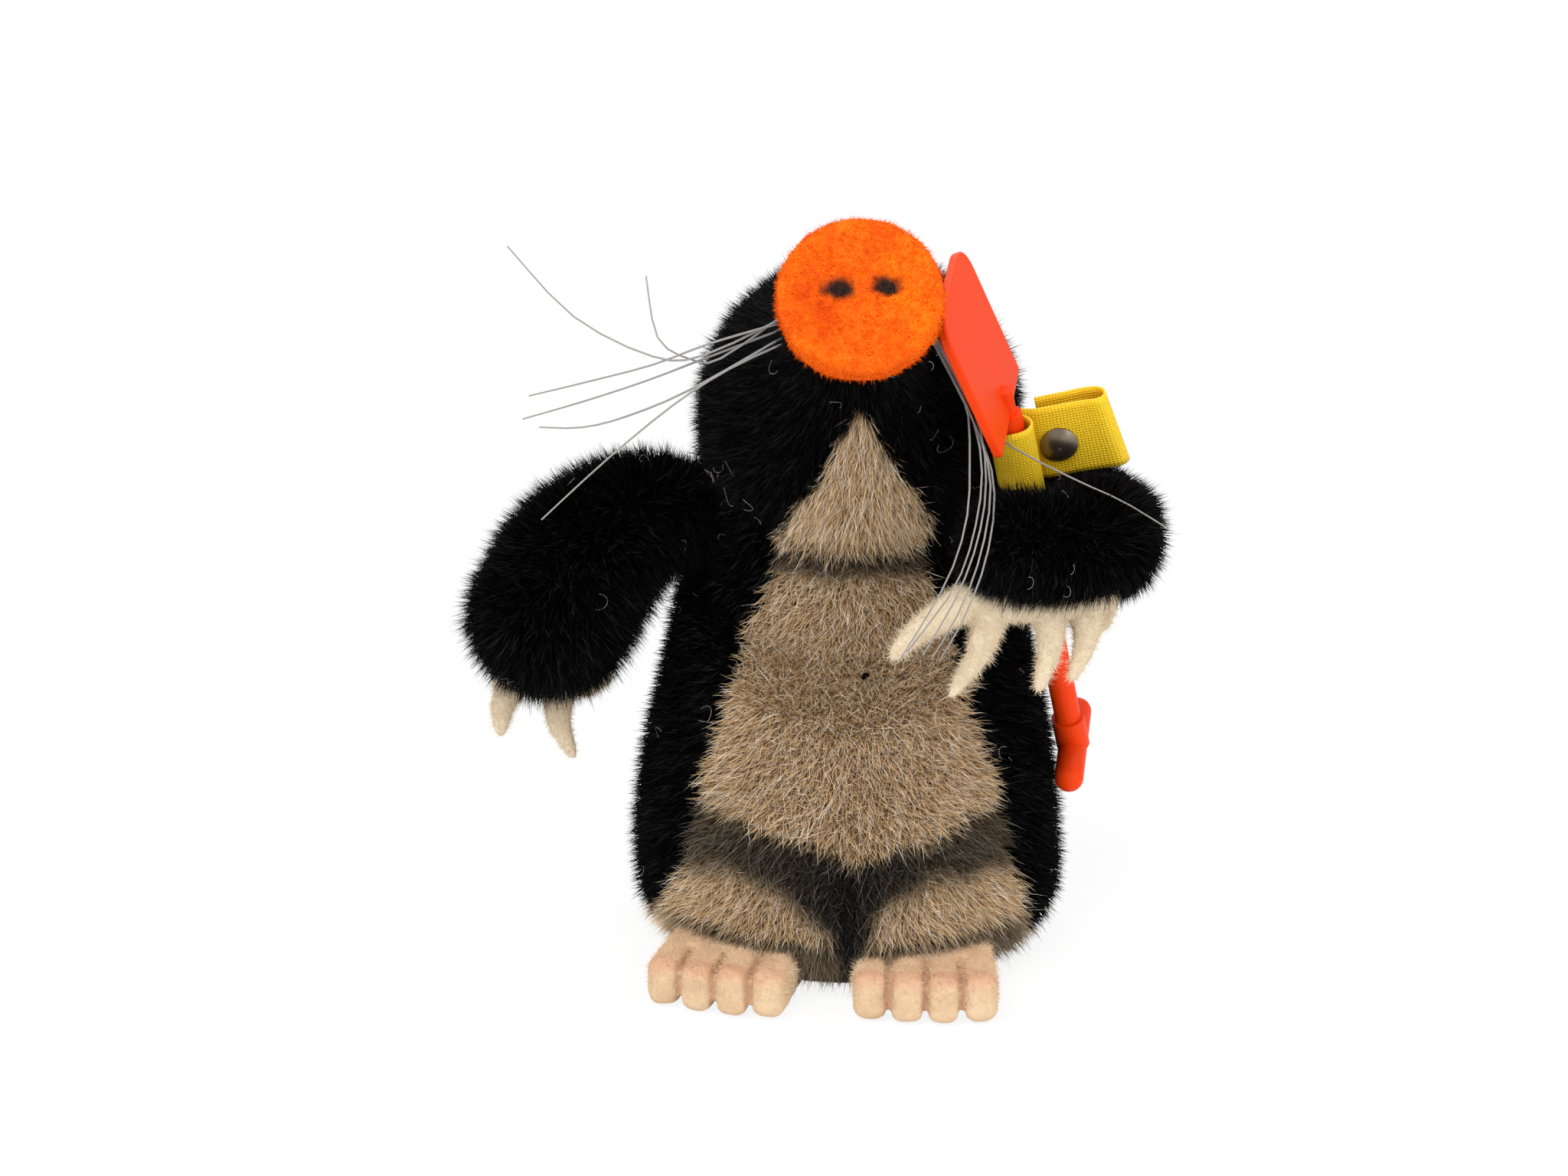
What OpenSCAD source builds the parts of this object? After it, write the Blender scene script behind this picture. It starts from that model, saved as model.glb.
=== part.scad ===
// Small standing plush mole with felt hands and feet, a disc-jointed head,
// wired arms and a plastic toy shovel held in the crook of its left arm.
// Millimetres. The mole stands on z = 0 and faces -Y, so its own left is +X.

/* [Body] */
// Radius of the flat underside
base_r = 24; // [22:0.5:26]
// Largest radius of the body
belly_r = 28.5; // [27:0.5:31]
// Height of the body's widest place
belly_z = 9; // [6:0.5:14]
// Radius of the body at the neck
neck_r = 19.5; // [19:0.5:21]
// Height of the neck seam on the body's axis
neck_h = 69.5; // [66:0.5:74]
// Slope of the neck seam, which is lower in front
neck_tilt = 25; // [15:1:30]
// Thickness of the cloth with the dense part of its pile
plush_t = 1.5; // [1:0.1:2]
// Thickness of the felt under the body
cover_t = 1; // [0.6:0.1:1.4]
// Thickness of the card that keeps the underside flat
board_t = 1.5; // [1:0.1:2.5]
// Half width of the light front panel at the waist
panel_w = 19; // [15:0.5:21]

/* [Neck joint] */
// Radius of the two card discs
disc_r = 12; // [9:0.5:14]
// Thickness of each card disc
disc_t = 1.6; // [1.2:0.1:2.2]
// Radius of the steel washers
washer_r = 5; // [4:0.25:6]
// Thickness of the steel washers
washer_t = 0.5; // [0.4:0.1:0.8]
// Radius of the cotter pin's shank
pin_r = 1; // [0.8:0.1:1.3]
// Radius of the cotter pin's head
pin_head_r = 2.2; // [1.8:0.1:2.8]
// Gap left between the two halves of the neck seam
neck_gap = 0.4; // [0.3:0.05:0.6]
// Running gap between the discs, and round the pin
run_gap = 0.05; // [0.03:0.01:0.08]

/* [Head] */
// Radius of the round back of the head
head_r = 19.8; // [19:0.2:21]
// Height of the head's centre above the neck seam
head_rise = 5.3; // [5:0.1:7]
// Sideways place of the head's centre
head_x = 1; // [0:0.1:1.4]
// Upward pitch of the snout
snout_pitch = 31; // [26:1:36]
// Length of the snout from the head's centre
snout_l = 38; // [35:0.5:39]
// Radius of the snout behind the nose
snout_r = 7.6; // [6.5:0.1:8]
// How fast the snout narrows
snout_curve = 2.4; // [2:0.1:3]
// Half width of the chin patch at the neck
chin_w = 11; // [9:0.5:13]
// Radius of an eye bead
eye_r = 1.5; // [1.2:0.1:1.8]
// Place of the eyes along the snout
eye_t = 22; // [18:0.5:26]
// Turn of each eye from the top of the head
eye_turn = 30; // [24:1:40]

/* [Nose] */
// Radius of the felt nose
nose_r = 9.7; // [9:0.1:10]
// Length of the nose along the snout
nose_t = 4; // [3:0.1:5]
// Thickness of the felt
nose_felt = 1.2; // [0.8:0.1:1.6]

/* [Arms] */
// Distance of each shoulder from the middle
shoulder_x = 19.5; // [19:0.25:20.5]
// Drop of the shoulders below the neck seam
shoulder_drop = 9.5; // [9:0.25:11]
// Radius of the arm where it enters the shoulder
ball_r = 5; // [4.5:0.1:5.5]
// Gap round the arm in the shoulder
ball_gap = 0.5; // [0.4:0.05:0.7]
// Radius of the right paw
right_paw_r = 9.3; // [8.5:0.1:9.8]
// Radius of the left paw
left_paw_r = 6; // [5.5:0.1:6.5]
// Radius of the armature wire
wire_r = 0.8; // [0.5:0.1:1.2]
// Thickness of the felt of the palms
palm_t = 2; // [1.5:0.1:2.5]
// Radius of a claw at its root
claw_r = 2.6; // [2:0.1:3]
// Radius of a claw at its tip
claw_tip_r = 0.9; // [0.7:0.1:1.2]

/* [Feet] */
// Width of a foot over its four toes
foot_w = 18.5; // [17:0.5:19.5]
// Length of a foot
foot_l = 22; // [18:0.5:24]
// Height of a foot
foot_h = 6.6; // [5.5:0.1:7.5]
// Length of the toes
toe_l = 8; // [6:0.5:10]
// Radius of the toes' rounded edges
toe_round = 1.5; // [1:0.1:2]
// Width of the stitched grooves between the toes
groove_w = 0.35; // [0.2:0.05:0.6]
// Thickness of the felt of a foot
foot_felt = 1.5; // [1:0.1:2]
// Reach of the toes in front of the body's axis
toe_reach = 36.2; // [34:0.1:38]
// Outward turn of the right foot
foot_turn = 13; // [8:1:18]

/* [Shovel] */
// Radius of the round shaft
shaft_r = 1.8; // [1.5:0.05:2]
// Length of the shaft from the grip to the heel of the blade
shaft_l = 55.4; // [52:0.2:58]
// Lean of the shaft from upright
shaft_lean = 24.3; // [22:0.1:26]
// Heading of the shaft's lean
shaft_heading = -121.2; // [-124:0.2:-118]
// Roll of the blade about the shaft
blade_roll = 19.7; // [16:0.1:22]
// Width of the blade
blade_w = 20.4; // [18:0.2:21]
// Length of the blade
blade_l = 20; // [18:0.2:21]
// Thickness of the blade
blade_t = 1.2; // [0.9:0.1:1.5]
// Bend between shaft and blade
blade_crank = 12; // [8:0.5:13]
// Radius of the tapered socket behind the blade
socket_r = 2.2; // [2:0.1:2.6]
// Length of the socket
socket_l = 7; // [5:0.5:9]
// Length of the cross grip
grip_l = 16; // [12:0.5:18]
// Radius of the cross grip
grip_r = 2; // [1.6:0.1:2.3]
// Gap round the shaft in the crook of the arm and in the ribbon
shaft_gap = 0.3; // [0.2:0.05:0.5]

/* [Ribbon tag] */
// Width of the ribbon
ribbon_w = 10.6; // [9:0.2:12]
// Thickness of the ribbon
ribbon_t = 0.35; // [0.25:0.05:0.5]
// Length of the flat part of the tag
tag_l = 13.5; // [12:0.5:15]
// Distance between the front and the back layer
tag_gap = 1; // [0.6:0.1:1.6]
// Radius of the rivet's head
rivet_r = 2.45; // [2:0.05:3]
// Distance of the rivet from the ribbon's curl
rivet_reach = 5.6; // [4.5:0.1:7]

/* [Whiskers] */
// Radius of a whisker
whisker_r = 0.15; // [0.12:0.01:0.25]

/* [Hidden] */
$fn = 48;

black = [0.05, 0.05, 0.05];
tan = [0.62, 0.54, 0.42];
felt_orange = [1, 0.48, 0.05];
felt_cream = [0.93, 0.86, 0.72];
card_grey = [0.6, 0.52, 0.4];
straw = [0.8, 0.68, 0.42];
steel = [0.6, 0.6, 0.6];
red = [0.93, 0.22, 0.12];
yellow = [0.95, 0.78, 0.1];
bronze = [0.4, 0.36, 0.3];
nylon = [0.85, 0.82, 0.75];

big = 200;
rings = 12;

// Places that the other pieces follow.
neck_axis = [0, -sin(neck_tilt), cos(neck_tilt)];
head_y = -4;
// The head's centre stands over the seam plane, which crosses the axis at neck_h.
head_c = [head_x, head_y, neck_h + (head_rise - head_y * neck_axis[1]) / neck_axis[2]];
neck_c = head_c - head_rise * neck_axis;
shoulder_z = neck_h - shoulder_drop;
left_shoulder = [shoulder_x, -4, shoulder_z];
right_shoulder = [-shoulder_x, -5, shoulder_z];

// Arms: the curve through the middle of each, from the shoulder to the paw.
left_arm_path = [for (p = [[0, 0, 0], [8.5, -3, 0.5], [12.6, -10.5, 1.2], [12.2, -19, 1.8], [8, -25.5, 2.2],
  [1, -27, 2.5]]) left_shoulder + p];
left_arm_r = [ball_r, 7.2, 7.4, 6.8, left_paw_r + 0.2, left_paw_r];
right_arm_path = [for (p = [[0, 0, 0], [-8.5, -3.5, 0.5], [-15.5, -6.5, -4], [-20, -9, -11.5]])
  right_shoulder + p];
right_arm_r = [ball_r, 7.2, 9, right_paw_r];

// Palms: middle of each felt palm and its turn about X, Y and Z.
left_palm_c = left_shoulder + [3.4, -26.5, 2.2 - left_paw_r + 0.8];
right_palm_c = right_shoulder + [-21.5, -6.5, -13 - right_paw_r + 3];
left_palm_w = 20;
right_palm_w = 13;
palm_d = 7;

// Shovel: the shaft crosses the crook of the left arm at crook_c.
crook_c = left_shoulder + [3.9, -10.5, 1.5];
heel_rise = 17;

// Ribbon tag: its middle lies this far below the heel of the blade.
tag_drop = 6.9;
tag_turn = 101;
curl_r = shaft_r + shaft_gap;

function body_radius(z) = z < belly_z
  ? base_r + (belly_r - base_r) * sin(90 * z / belly_z)
  : neck_r + (belly_r - neck_r) * (1 + cos(180 * min(1, (z - belly_z) / (neck_h + 3 - belly_z)))) / 2;

function snout_radius(t, r, tip) = tip + (r - tip) * pow(cos(90 * t / snout_l), snout_curve);

// ---- Shared shapes ----

// Half space above the neck seam, moved along the neck axis by lift.
module above_neck(lift = 0) {
  at_neck() translate([-big / 2, -big / 2, lift]) cube(big);
}

module at_neck() {
  translate(neck_c) rotate([neck_tilt, 0, 0]) children();
}

module at_head() {
  translate(head_c) rotate([90 - snout_pitch, 0, 0]) children();
}

// Turns local Z towards the direction v.
module along(v) {
  rotate([0, acos(v[2] / norm(v)), atan2(v[1], v[0])]) children();
}

function unit(v) = v / norm(v);

// Point on a smooth curve through the points p, at the fraction u. The points
// may be places or plain numbers.
function spline(p, u) =
  let (n = len(p) - 1, i = min(floor(u * n), n - 1), w = u * n - i,
       a = p[max(i - 1, 0)], b = p[i], c = p[i + 1], d = p[min(i + 2, n)])
  0.5 * ((2 * b) + (c - a) * w + (2 * a - 5 * b + 4 * c - d) * w * w + (3 * b - a - 3 * c + d) * w * w * w);

// Round tube through the ring centres at, with the radii rad.
module tube(at, rad, sides) {
  last = len(at) - 1;
  points = [for (k = [0 : last])
    let (t = unit(at[min(k + 1, last)] - at[max(k - 1, 0)]),
         u = unit(cross(t, abs(t[1]) < 0.9 ? [0, 1, 0] : [0, 0, 1])), v = cross(t, u))
    for (s = [0 : sides - 1]) at[k] + rad[k] * (u * cos(360 * s / sides) + v * sin(360 * s / sides))];
  walls = [for (k = [0 : last - 1], s = [0 : sides - 1])
    let (a = k * sides + s, b = k * sides + (s + 1) % sides) [a + sides, b + sides, b, a]];
  ends = [[for (s = [0 : sides - 1]) s], [for (s = [sides - 1 : -1 : 0]) last * sides + s]];
  polyhedron(points = points, faces = concat(walls, ends));
}

// Strand that tapers from r0 to r1 along a smooth curve. A larger fullness
// keeps it thick for longer.
module strand(route, r0, r1, sides = 6, steps = 12, fullness = 1) {
  tube([for (k = [0 : steps]) spline(route, k / steps)],
    [for (k = [0 : steps]) r1 + (r0 - r1) * (1 - pow(k / steps, fullness))], sides);
}

// Stuffed limb with round ends: a smooth tube through path, with the radii
// radii at its points, thinner by inset.
limb_sides = 18;
limb_steps = 14;
caps = [75, 50, 25];

module limb(path, radii, inset = 0) {
  last = len(path) - 1;
  start = unit(spline(path, 0.02) - path[0]);
  end = unit(path[last] - spline(path, 0.98));
  r_start = radii[0] - inset;
  r_end = radii[last] - inset;
  tube(
    concat([for (a = caps) path[0] - start * r_start * sin(a)],
      [for (k = [0 : limb_steps]) spline(path, k / limb_steps)],
      [for (k = [len(caps) - 1 : -1 : 0]) path[last] + end * r_end * sin(caps[k])]),
    concat([for (a = caps) r_start * cos(a)],
      [for (k = [0 : limb_steps]) spline(radii, k / limb_steps) - inset],
      [for (k = [len(caps) - 1 : -1 : 0]) r_end * cos(caps[k])]),
    limb_sides);
}

// Rectangle from the origin with its corners rounded.
module rounded_rect(w, h, r) {
  translate([r, 0]) square([w - 2 * r, h]);
  translate([0, r]) square([w, h - 2 * r]);
  for (x = [r, w - r], y = [r, h - r]) translate([x, y]) circle(r);
}

// ---- Body ----

// Outside of the stuffed body, or of its stuffing, before the neck seam is cut.
// Its top narrows to the round neck, which stands square to the sloping seam.
module body_solid(inset = 0, low = 0) {
  top = neck_h + 14;
  flare = 30;
  intersection() {
    rotate_extrude() polygon(concat([[0, low], [base_r - inset, low]],
      [for (k = [1 : 5]) [body_radius(belly_z * k / 6) - inset, belly_z * k / 6]],
      [for (k = [0 : rings]) let (z = belly_z + (top - belly_z) * k / rings) [body_radius(z) - inset, z]],
      [[0, top]]));
    at_neck() rotate_extrude() polygon([
      [0, -2 * neck_h], [3 * neck_r, -2 * neck_h], [3 * neck_r, -flare],
      [neck_r + 0.17 * flare - inset, -flare / 2], [neck_r + 0.04 * flare - inset, -flare / 6],
      [neck_r - 0.6 - inset, 0], [neck_r - 2 - inset, 2], [0, 2]]);
  }
}

module body_hollows() {
  for (c = [left_shoulder, right_shoulder]) translate(c) sphere(ball_r + ball_gap);
  for (side = [1, -1]) at_foot(side) foot_block();
}

// Front panel seen from the front: wide at the foot, narrow at the neck.
module panel_outline() {
  neck_half = panel_w * 0.55;
  polygon(concat(
    [for (k = [0 : 8]) let (z = neck_h * k / 8)
      [(panel_w - (panel_w - neck_half) * pow(k / 8, 2.2)) * (1 + 0.35 * pow(1 - k / 8, 3)), z]],
    [[neck_half, neck_h + 4], [-neck_half, neck_h + 4]],
    [for (k = [8 : -1 : 0]) let (z = neck_h * k / 8)
      [-(panel_w - (panel_w - neck_half) * pow(k / 8, 2.2)) * (1 + 0.35 * pow(1 - k / 8, 3)), z]]));
}

module panel_cut() {
  rotate([90, 0, 0]) linear_extrude(big / 2) panel_outline();
}

module body_shell() {
  difference() {
    body_solid();
    body_solid(plush_t, -1);
    above_neck(-neck_gap / 2);
    body_hollows();
  }
}

module back_plush() {
  color(black) difference() {
    body_shell();
    panel_cut();
  }
}

module belly_plush() {
  color(tan) intersection() {
    body_shell();
    panel_cut();
  }
}

module base_cover() {
  color(tan) difference() {
    cylinder(h = cover_t, r = base_r - plush_t);
    body_hollows();
  }
}

module base_board() {
  color(card_grey) difference() {
    translate([0, 0, cover_t]) cylinder(h = board_t, r = base_r - plush_t);
    body_hollows();
  }
}

module body_stuffing() {
  color(straw) difference() {
    body_solid(plush_t, -1);
    above_neck(-neck_gap / 2);
    translate([0, 0, -big]) cylinder(h = big + cover_t + board_t, r = big);
    body_hollows();
    at_neck() neck_stack_lower();
  }
}

// ---- Feet ----

// side is 1 for the left foot and -1 for the right one, which turns out.
module at_foot(side) {
  gap = 1;
  if (side > 0) translate([gap + foot_w / 2, -toe_reach, 0]) children();
  else translate([-8.4, -toe_reach, 0]) rotate([0, 0, -foot_turn]) translate([-foot_w / 2, 0, 0])
    children();
}

module toe(w, setback) {
  intersection() {
    translate([0, toe_l + 1, 0]) rotate([90, 0, 0])
      linear_extrude(toe_l + 1) rounded_rect(w, foot_h, toe_round);
    translate([0, setback, 0]) rotate([90, 0, 90])
      linear_extrude(w) rounded_rect(toe_l * 2, foot_h, toe_round * 1.3);
  }
}

module foot_block() {
  w = (foot_w - 3 * groove_w) / 4;
  for (i = [0 : 3])
    translate([-foot_w / 2 + i * (w + groove_w), 0, 0]) toe(w, [0.9, 0.1, 0, 0.6][i]);
  translate([-foot_w / 2, toe_l, 0]) difference() {
    translate([0, 0, -toe_round]) linear_extrude(foot_h + toe_round)
      rounded_rect(foot_w, foot_l - toe_l, toe_round);
    translate([-1, -1, -big]) cube([foot_w + 2, foot_l + 2, big]);
  }
}

module sole_plate() {
  inset = 1;
  translate([-foot_w / 2 + inset, toe_l + inset, 0]) linear_extrude(foot_felt)
    rounded_rect(foot_w - 2 * inset, foot_l - toe_l - 2 * inset, toe_round);
}

module foot_core() {
  translate([-foot_w / 2 + foot_felt, toe_l + foot_felt, foot_felt])
    linear_extrude(foot_h - 2 * foot_felt)
      rounded_rect(foot_w - 2 * foot_felt, foot_l - toe_l - 2 * foot_felt, 1);
}

module foot(side) {
  color(felt_cream) at_foot(side) difference() {
    foot_block();
    sole_plate();
    foot_core();
  }
}

module foot_sole(side) {
  color(felt_cream) at_foot(side) sole_plate();
}

module foot_filling(side) {
  color(straw) at_foot(side) foot_core();
}

// ---- Neck joint, drawn along the neck axis with the seam at z = 0 ----

module disc_and_washer() {
  cylinder(h = run_gap + disc_t, r = disc_r);
  cylinder(h = stack_t, r = washer_r);
}

module neck_disc(bore) {
  difference() {
    translate([0, 0, run_gap]) cylinder(h = disc_t, r = disc_r);
    cylinder(h = big, r = bore, center = true);
  }
}

module neck_washer(bore) {
  difference() {
    translate([0, 0, run_gap + disc_t]) cylinder(h = washer_t, r = washer_r);
    cylinder(h = big, r = bore, center = true);
  }
}

stack_t = run_gap + disc_t + washer_t;
leg_r = pin_r * 0.6;
leg_l = 3.4;

module pin_form() {
  translate([0, 0, -stack_t - 2 * leg_r]) cylinder(h = 2 * stack_t + 2 * leg_r + run_gap, r = pin_r);
  translate([0, 0, stack_t + run_gap]) cylinder(h = 1.2, r = pin_head_r);
  translate([0, 0, -stack_t - leg_r]) rotate([0, 90, 0]) cylinder(h = 2 * leg_l, r = leg_r, center = true);
}

module neck_stack_lower() {
  rotate([180, 0, 0]) disc_and_washer();
  pin_form();
}

module neck_disc_lower() {
  color(card_grey) at_neck() rotate([180, 0, 0]) neck_disc(pin_r + run_gap);
}

module neck_washer_lower() {
  color(steel) at_neck() rotate([180, 0, 0]) neck_washer(pin_r + run_gap);
}

module neck_pin() {
  color(steel) at_neck() pin_form();
}

module neck_disc_upper() {
  color(card_grey) at_neck() neck_disc(pin_r + run_gap);
}

module neck_washer_upper() {
  color(steel) at_neck() neck_washer(pin_r + run_gap);
}

// ---- Head ----

// Outside of the head, or of its stuffing, before the neck seam is cut.
module head_solid(inset = 0, extra = 0) {
  r = head_r - inset;
  tip = snout_r - inset;
  at_head() rotate_extrude() polygon(concat(
    [for (k = [0 : 8]) let (a = -90 + 90 * k / 8) [r * cos(a), r * sin(a)]],
    [for (k = [1 : rings]) let (t = snout_l * k / rings) [snout_radius(t, r, tip), t]],
    [[tip, snout_l + extra], [0, snout_l + extra]]));
}

module below_neck(lift = 0) {
  at_neck() translate([-big / 2, -big / 2, lift - big]) cube(big);
}

module chin_cut() {
  reach = 30;
  at_head() translate([0, -3, 0]) rotate([90, 0, 0]) linear_extrude(big / 2)
    polygon([[0, reach], [chin_w, -2], [chin_w, -head_r], [-chin_w, -head_r], [-chin_w, -2]]);
}

module eye_form() {
  sphere(eye_r);
  translate([0, 0, -4]) cylinder(h = 4, r = eye_r * 0.35);
}

module at_eye(side) {
  at_head() rotate([0, 0, -side * eye_turn])
    translate([0, snout_radius(eye_t, head_r, snout_r) + 0.3, eye_t]) rotate([-90, 0, 0]) children();
}

module head_shell() {
  difference() {
    head_solid();
    head_solid(plush_t, 1);
    below_neck(neck_gap / 2);
    for (side = [1, -1]) at_eye(side) eye_form();
  }
}

module head_plush() {
  color(black) difference() {
    head_shell();
    chin_cut();
  }
}

module chin_plush() {
  color(tan) intersection() {
    head_shell();
    chin_cut();
  }
}

module head_stuffing() {
  color(straw) difference() {
    head_solid(plush_t);
    below_neck(neck_gap / 2);
    at_neck() disc_and_washer();
    at_neck() translate([0, 0, stack_t]) cylinder(h = 2.2, r = pin_head_r + 0.4);
    for (side = [1, -1]) at_eye(side) eye_form();
  }
}

module eye(side) {
  color(black) at_eye(side) eye_form();
}

module at_nose() {
  at_head() translate([0, 0, snout_l]) children();
}

module nose_filling() {
  color(straw) at_nose() cylinder(h = nose_t - nose_felt, r = nose_r - nose_felt);
}

module nose_band() {
  color(felt_orange) at_nose() difference() {
    cylinder(h = nose_t - nose_felt, r = nose_r);
    cylinder(h = big, r = nose_r - nose_felt, center = true);
  }
}

module nose_face() {
  color(felt_orange) at_nose() translate([0, 0, nose_t - nose_felt])
    cylinder(h = nose_felt, r = nose_r);
}

// ---- Arms ----

module palm_plate(w) {
  translate([-w / 2, -palm_d / 2, -palm_t]) linear_extrude(palm_t) rounded_rect(w, palm_d, palm_d * 0.45);
}

// Room for a palm and its claws, below the palm's upper face and as far behind
// the palm as behind.
module under_palm(w, behind) {
  edge = 2;
  translate([-w / 2 - edge, -big / 2, -big]) cube([w + 2 * edge, big / 2 + palm_d / 2 + behind, big]);
}

module at_left_palm() {
  translate(left_palm_c) rotate([0, 0, 10]) children();
}

module at_right_palm() {
  translate(right_palm_c) rotate([14, 6, 0]) children();
}

// Felt palm with its claws. Each claw has its root, the way to its tip, a
// sideways bulge at half its length and a drop of its root below the palm.
module hand(w, claws) {
  palm_plate(w);
  for (c = claws) {
    root = [c[0], c[1], -palm_t / 2 - c[4]];
    mid = root + c[2] * 0.5 + [c[3], 0, 0];
    strand([root, mid, root + c[2]], claw_r, claw_tip_r, sides = 10, steps = 7, fullness = 1.8);
  }
}

left_claws = [
  [-8.2, -1, [-11, -4.5, -6], -1.5, 0],
  [-5.6, -1, [-6, -4, -11.3], 0.3, 0],
  [1.2, -1, [-1.8, -4, -11], 0.6, 0],
  [6, -1, [-2.2, -3.5, -10], 0.8, 0],
  [8.6, 0.6, [0.5, 0.5, -5.5], 0.3, 0]
];

right_claws = [
  [-3.8, -2, [-1, -3.5, -7.5], -0.5, 0.3],
  [2.6, -2, [3, -5, -8.5], -1.2, 0.5],
  [-1.5, 1.8, [-0.5, 6, -2.5], 0, 1.6],
  [2, 1.8, [0.5, 6.5, -2.5], 0, 1.6],
  [5, 1, [3.5, 4.5, -2], 0, 1.6]
];

module shaft_channel() {
  at_shovel() translate([0, 0, -shaft_l / 2]) cylinder(h = 2 * shaft_l, r = shaft_r + shaft_gap);
}

module left_arm_core(inset = 0) {
  difference() {
    limb(left_arm_path, left_arm_r, inset);
    shaft_channel();
    at_left_palm() under_palm(left_palm_w, 1);
    at_rivet() rivet_back();
    ribbon_clearance();
  }
}

// The cover of an arm is open at the shoulder, where it is sewn to the body.
module shoulder_opening(side) {
  translate([side * shoulder_x, side > 0 ? left_shoulder[1] : right_shoulder[1], shoulder_z])
    rotate([0, -90 * side, 0]) cylinder(h = 2 * ball_r, r = ball_r - plush_t - 0.5);
}

module left_arm_plush() {
  color(black) difference() {
    left_arm_core();
    limb(left_arm_path, left_arm_r, plush_t);
    shoulder_opening(1);
  }
}

module left_arm_stuffing() {
  color(straw) difference() {
    left_arm_core(plush_t);
    left_wire();
  }
}

module left_wire() {
  strand(left_arm_path, wire_r, wire_r, sides = 10);
}

module left_arm_wire() {
  color(steel) left_wire();
}

module left_hand() {
  color(felt_cream) at_left_palm() hand(left_palm_w, left_claws);
}

module right_arm_core(inset = 0) {
  difference() {
    limb(right_arm_path, right_arm_r, inset);
    at_right_palm() under_palm(right_palm_w, 8);
  }
}

module right_arm_plush() {
  color(black) difference() {
    right_arm_core();
    limb(right_arm_path, right_arm_r, plush_t);
    shoulder_opening(-1);
  }
}

module right_wire() {
  strand(right_arm_path, wire_r, wire_r, sides = 10);
}

module right_arm_stuffing() {
  color(straw) difference() {
    right_arm_core(plush_t);
    right_wire();
  }
}

module right_arm_wire() {
  color(steel) right_wire();
}

module right_hand() {
  color(felt_cream) at_right_palm() hand(right_palm_w, right_claws);
}

// ---- Shovel, drawn with its shaft along Z and the grip at the origin ----

module at_shovel() {
  translate(crook_c) rotate([0, shaft_lean, shaft_heading]) rotate([0, 0, blade_roll])
    translate([0, 0, heel_rise - shaft_l]) children();
}

spigot_r = shaft_r * 0.65;
spigot_l = 3.5;

module shaft_form() {
  translate([0, 0, grip_r]) cylinder(h = shaft_l - grip_r, r = shaft_r);
  translate([0, 0, grip_r - spigot_l]) cylinder(h = shaft_l - grip_r + 2 * spigot_l, r = spigot_r);
}

module shovel_shaft() {
  color(red) at_shovel() shaft_form();
}

module shovel_grip() {
  hub_h = 3;
  color(red) at_shovel() difference() {
    union() {
      rotate([0, 90, 0]) cylinder(h = grip_l - 2, r = grip_r, center = true);
      for (x = [-1, 1]) translate([x * (grip_l / 2 - 1), 0, 0]) sphere(grip_r);
      cylinder(h = grip_r + hub_h, r = shaft_r + 0.5);
    }
    shaft_form();
  }
}

module blade_outline() {
  round_r = 4;
  translate([-blade_w / 2, 0]) square([blade_w, blade_l - round_r]);
  translate([-blade_w / 2 + round_r, 0]) square([blade_w - 2 * round_r, blade_l]);
  for (x = [-1, 1]) translate([x * (blade_w / 2 - round_r), blade_l - round_r]) circle(round_r);
}

module shovel_blade() {
  color(red) at_shovel() difference() {
    translate([0, 0, shaft_l]) union() {
      rotate([blade_crank, 0, 0]) rotate([90, 0, 0]) translate([0, 0, -blade_t / 2])
        linear_extrude(blade_t) blade_outline();
      cylinder(h = socket_l, r1 = socket_r, r2 = 0.6);
    }
    shaft_form();
  }
}

// ---- Ribbon tag and rivet, drawn with the ribbon's curl round the Z axis ----

module at_tag() {
  at_shovel() translate([0, 0, shaft_l - tag_drop]) rotate([0, 0, tag_turn]) children();
}

module tag_section(grow = 0) {
  out = curl_r + ribbon_t;
  fold_r = tag_gap / 2 + ribbon_t;
  difference() {
    circle(out + grow);
    if (grow == 0) circle(curl_r);
  }
  translate([0, curl_r - grow]) square([tag_l, ribbon_t + 2 * grow]);
  translate([3, out + tag_gap - grow]) square([tag_l - 3, ribbon_t + 2 * grow]);
  translate([tag_l, out + tag_gap / 2]) difference() {
    circle(fold_r + grow);
    if (grow == 0) circle(tag_gap / 2);
    translate([-big, -big / 2]) square([big, big]);
  }
}

module ribbon_clearance() {
  at_tag() translate([0, 0, -ribbon_w / 2 - 0.1]) linear_extrude(ribbon_w + 0.2) tag_section(0.1);
}

// Rivet axis, with Z towards the front of the tag.
module at_rivet() {
  at_tag() translate([rivet_reach, curl_r, -0.4]) rotate([90, 0, 0]) children();
}

stack_front = 0.3;
shank_r = 0.9;
shank_l = ribbon_t * 2 + tag_gap + 2;

module rivet_back() {
  translate([0, 0, -shank_l]) cylinder(h = shank_l, r = shank_r);
  translate([0, 0, -shank_l]) cylinder(h = 0.5, r = rivet_r);
}

module tag_rivet() {
  color(bronze) at_rivet() {
    cylinder(h = stack_front, r = rivet_r);
    translate([0, 0, stack_front]) intersection() {
      translate([0, 0, -rivet_r * 1.3]) sphere(rivet_r * 1.64);
      cylinder(h = rivet_r, r = rivet_r);
    }
    translate([0, 0, -shank_l]) cylinder(h = shank_l, r = shank_r);
  }
}

module rivet_washer() {
  color(bronze) at_rivet() difference() {
    translate([0, 0, -shank_l]) cylinder(h = 0.5, r = rivet_r);
    cylinder(h = big, r = shank_r, center = true);
  }
}

module tag_ribbon() {
  color(yellow) difference() {
    at_tag() translate([0, 0, -ribbon_w / 2]) linear_extrude(ribbon_w) tag_section();
    at_rivet() cylinder(h = big, r = shank_r, center = true);
  }
}

// ---- Whiskers: nylon strands from the cheeks, on routes chosen by hand ----

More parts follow.
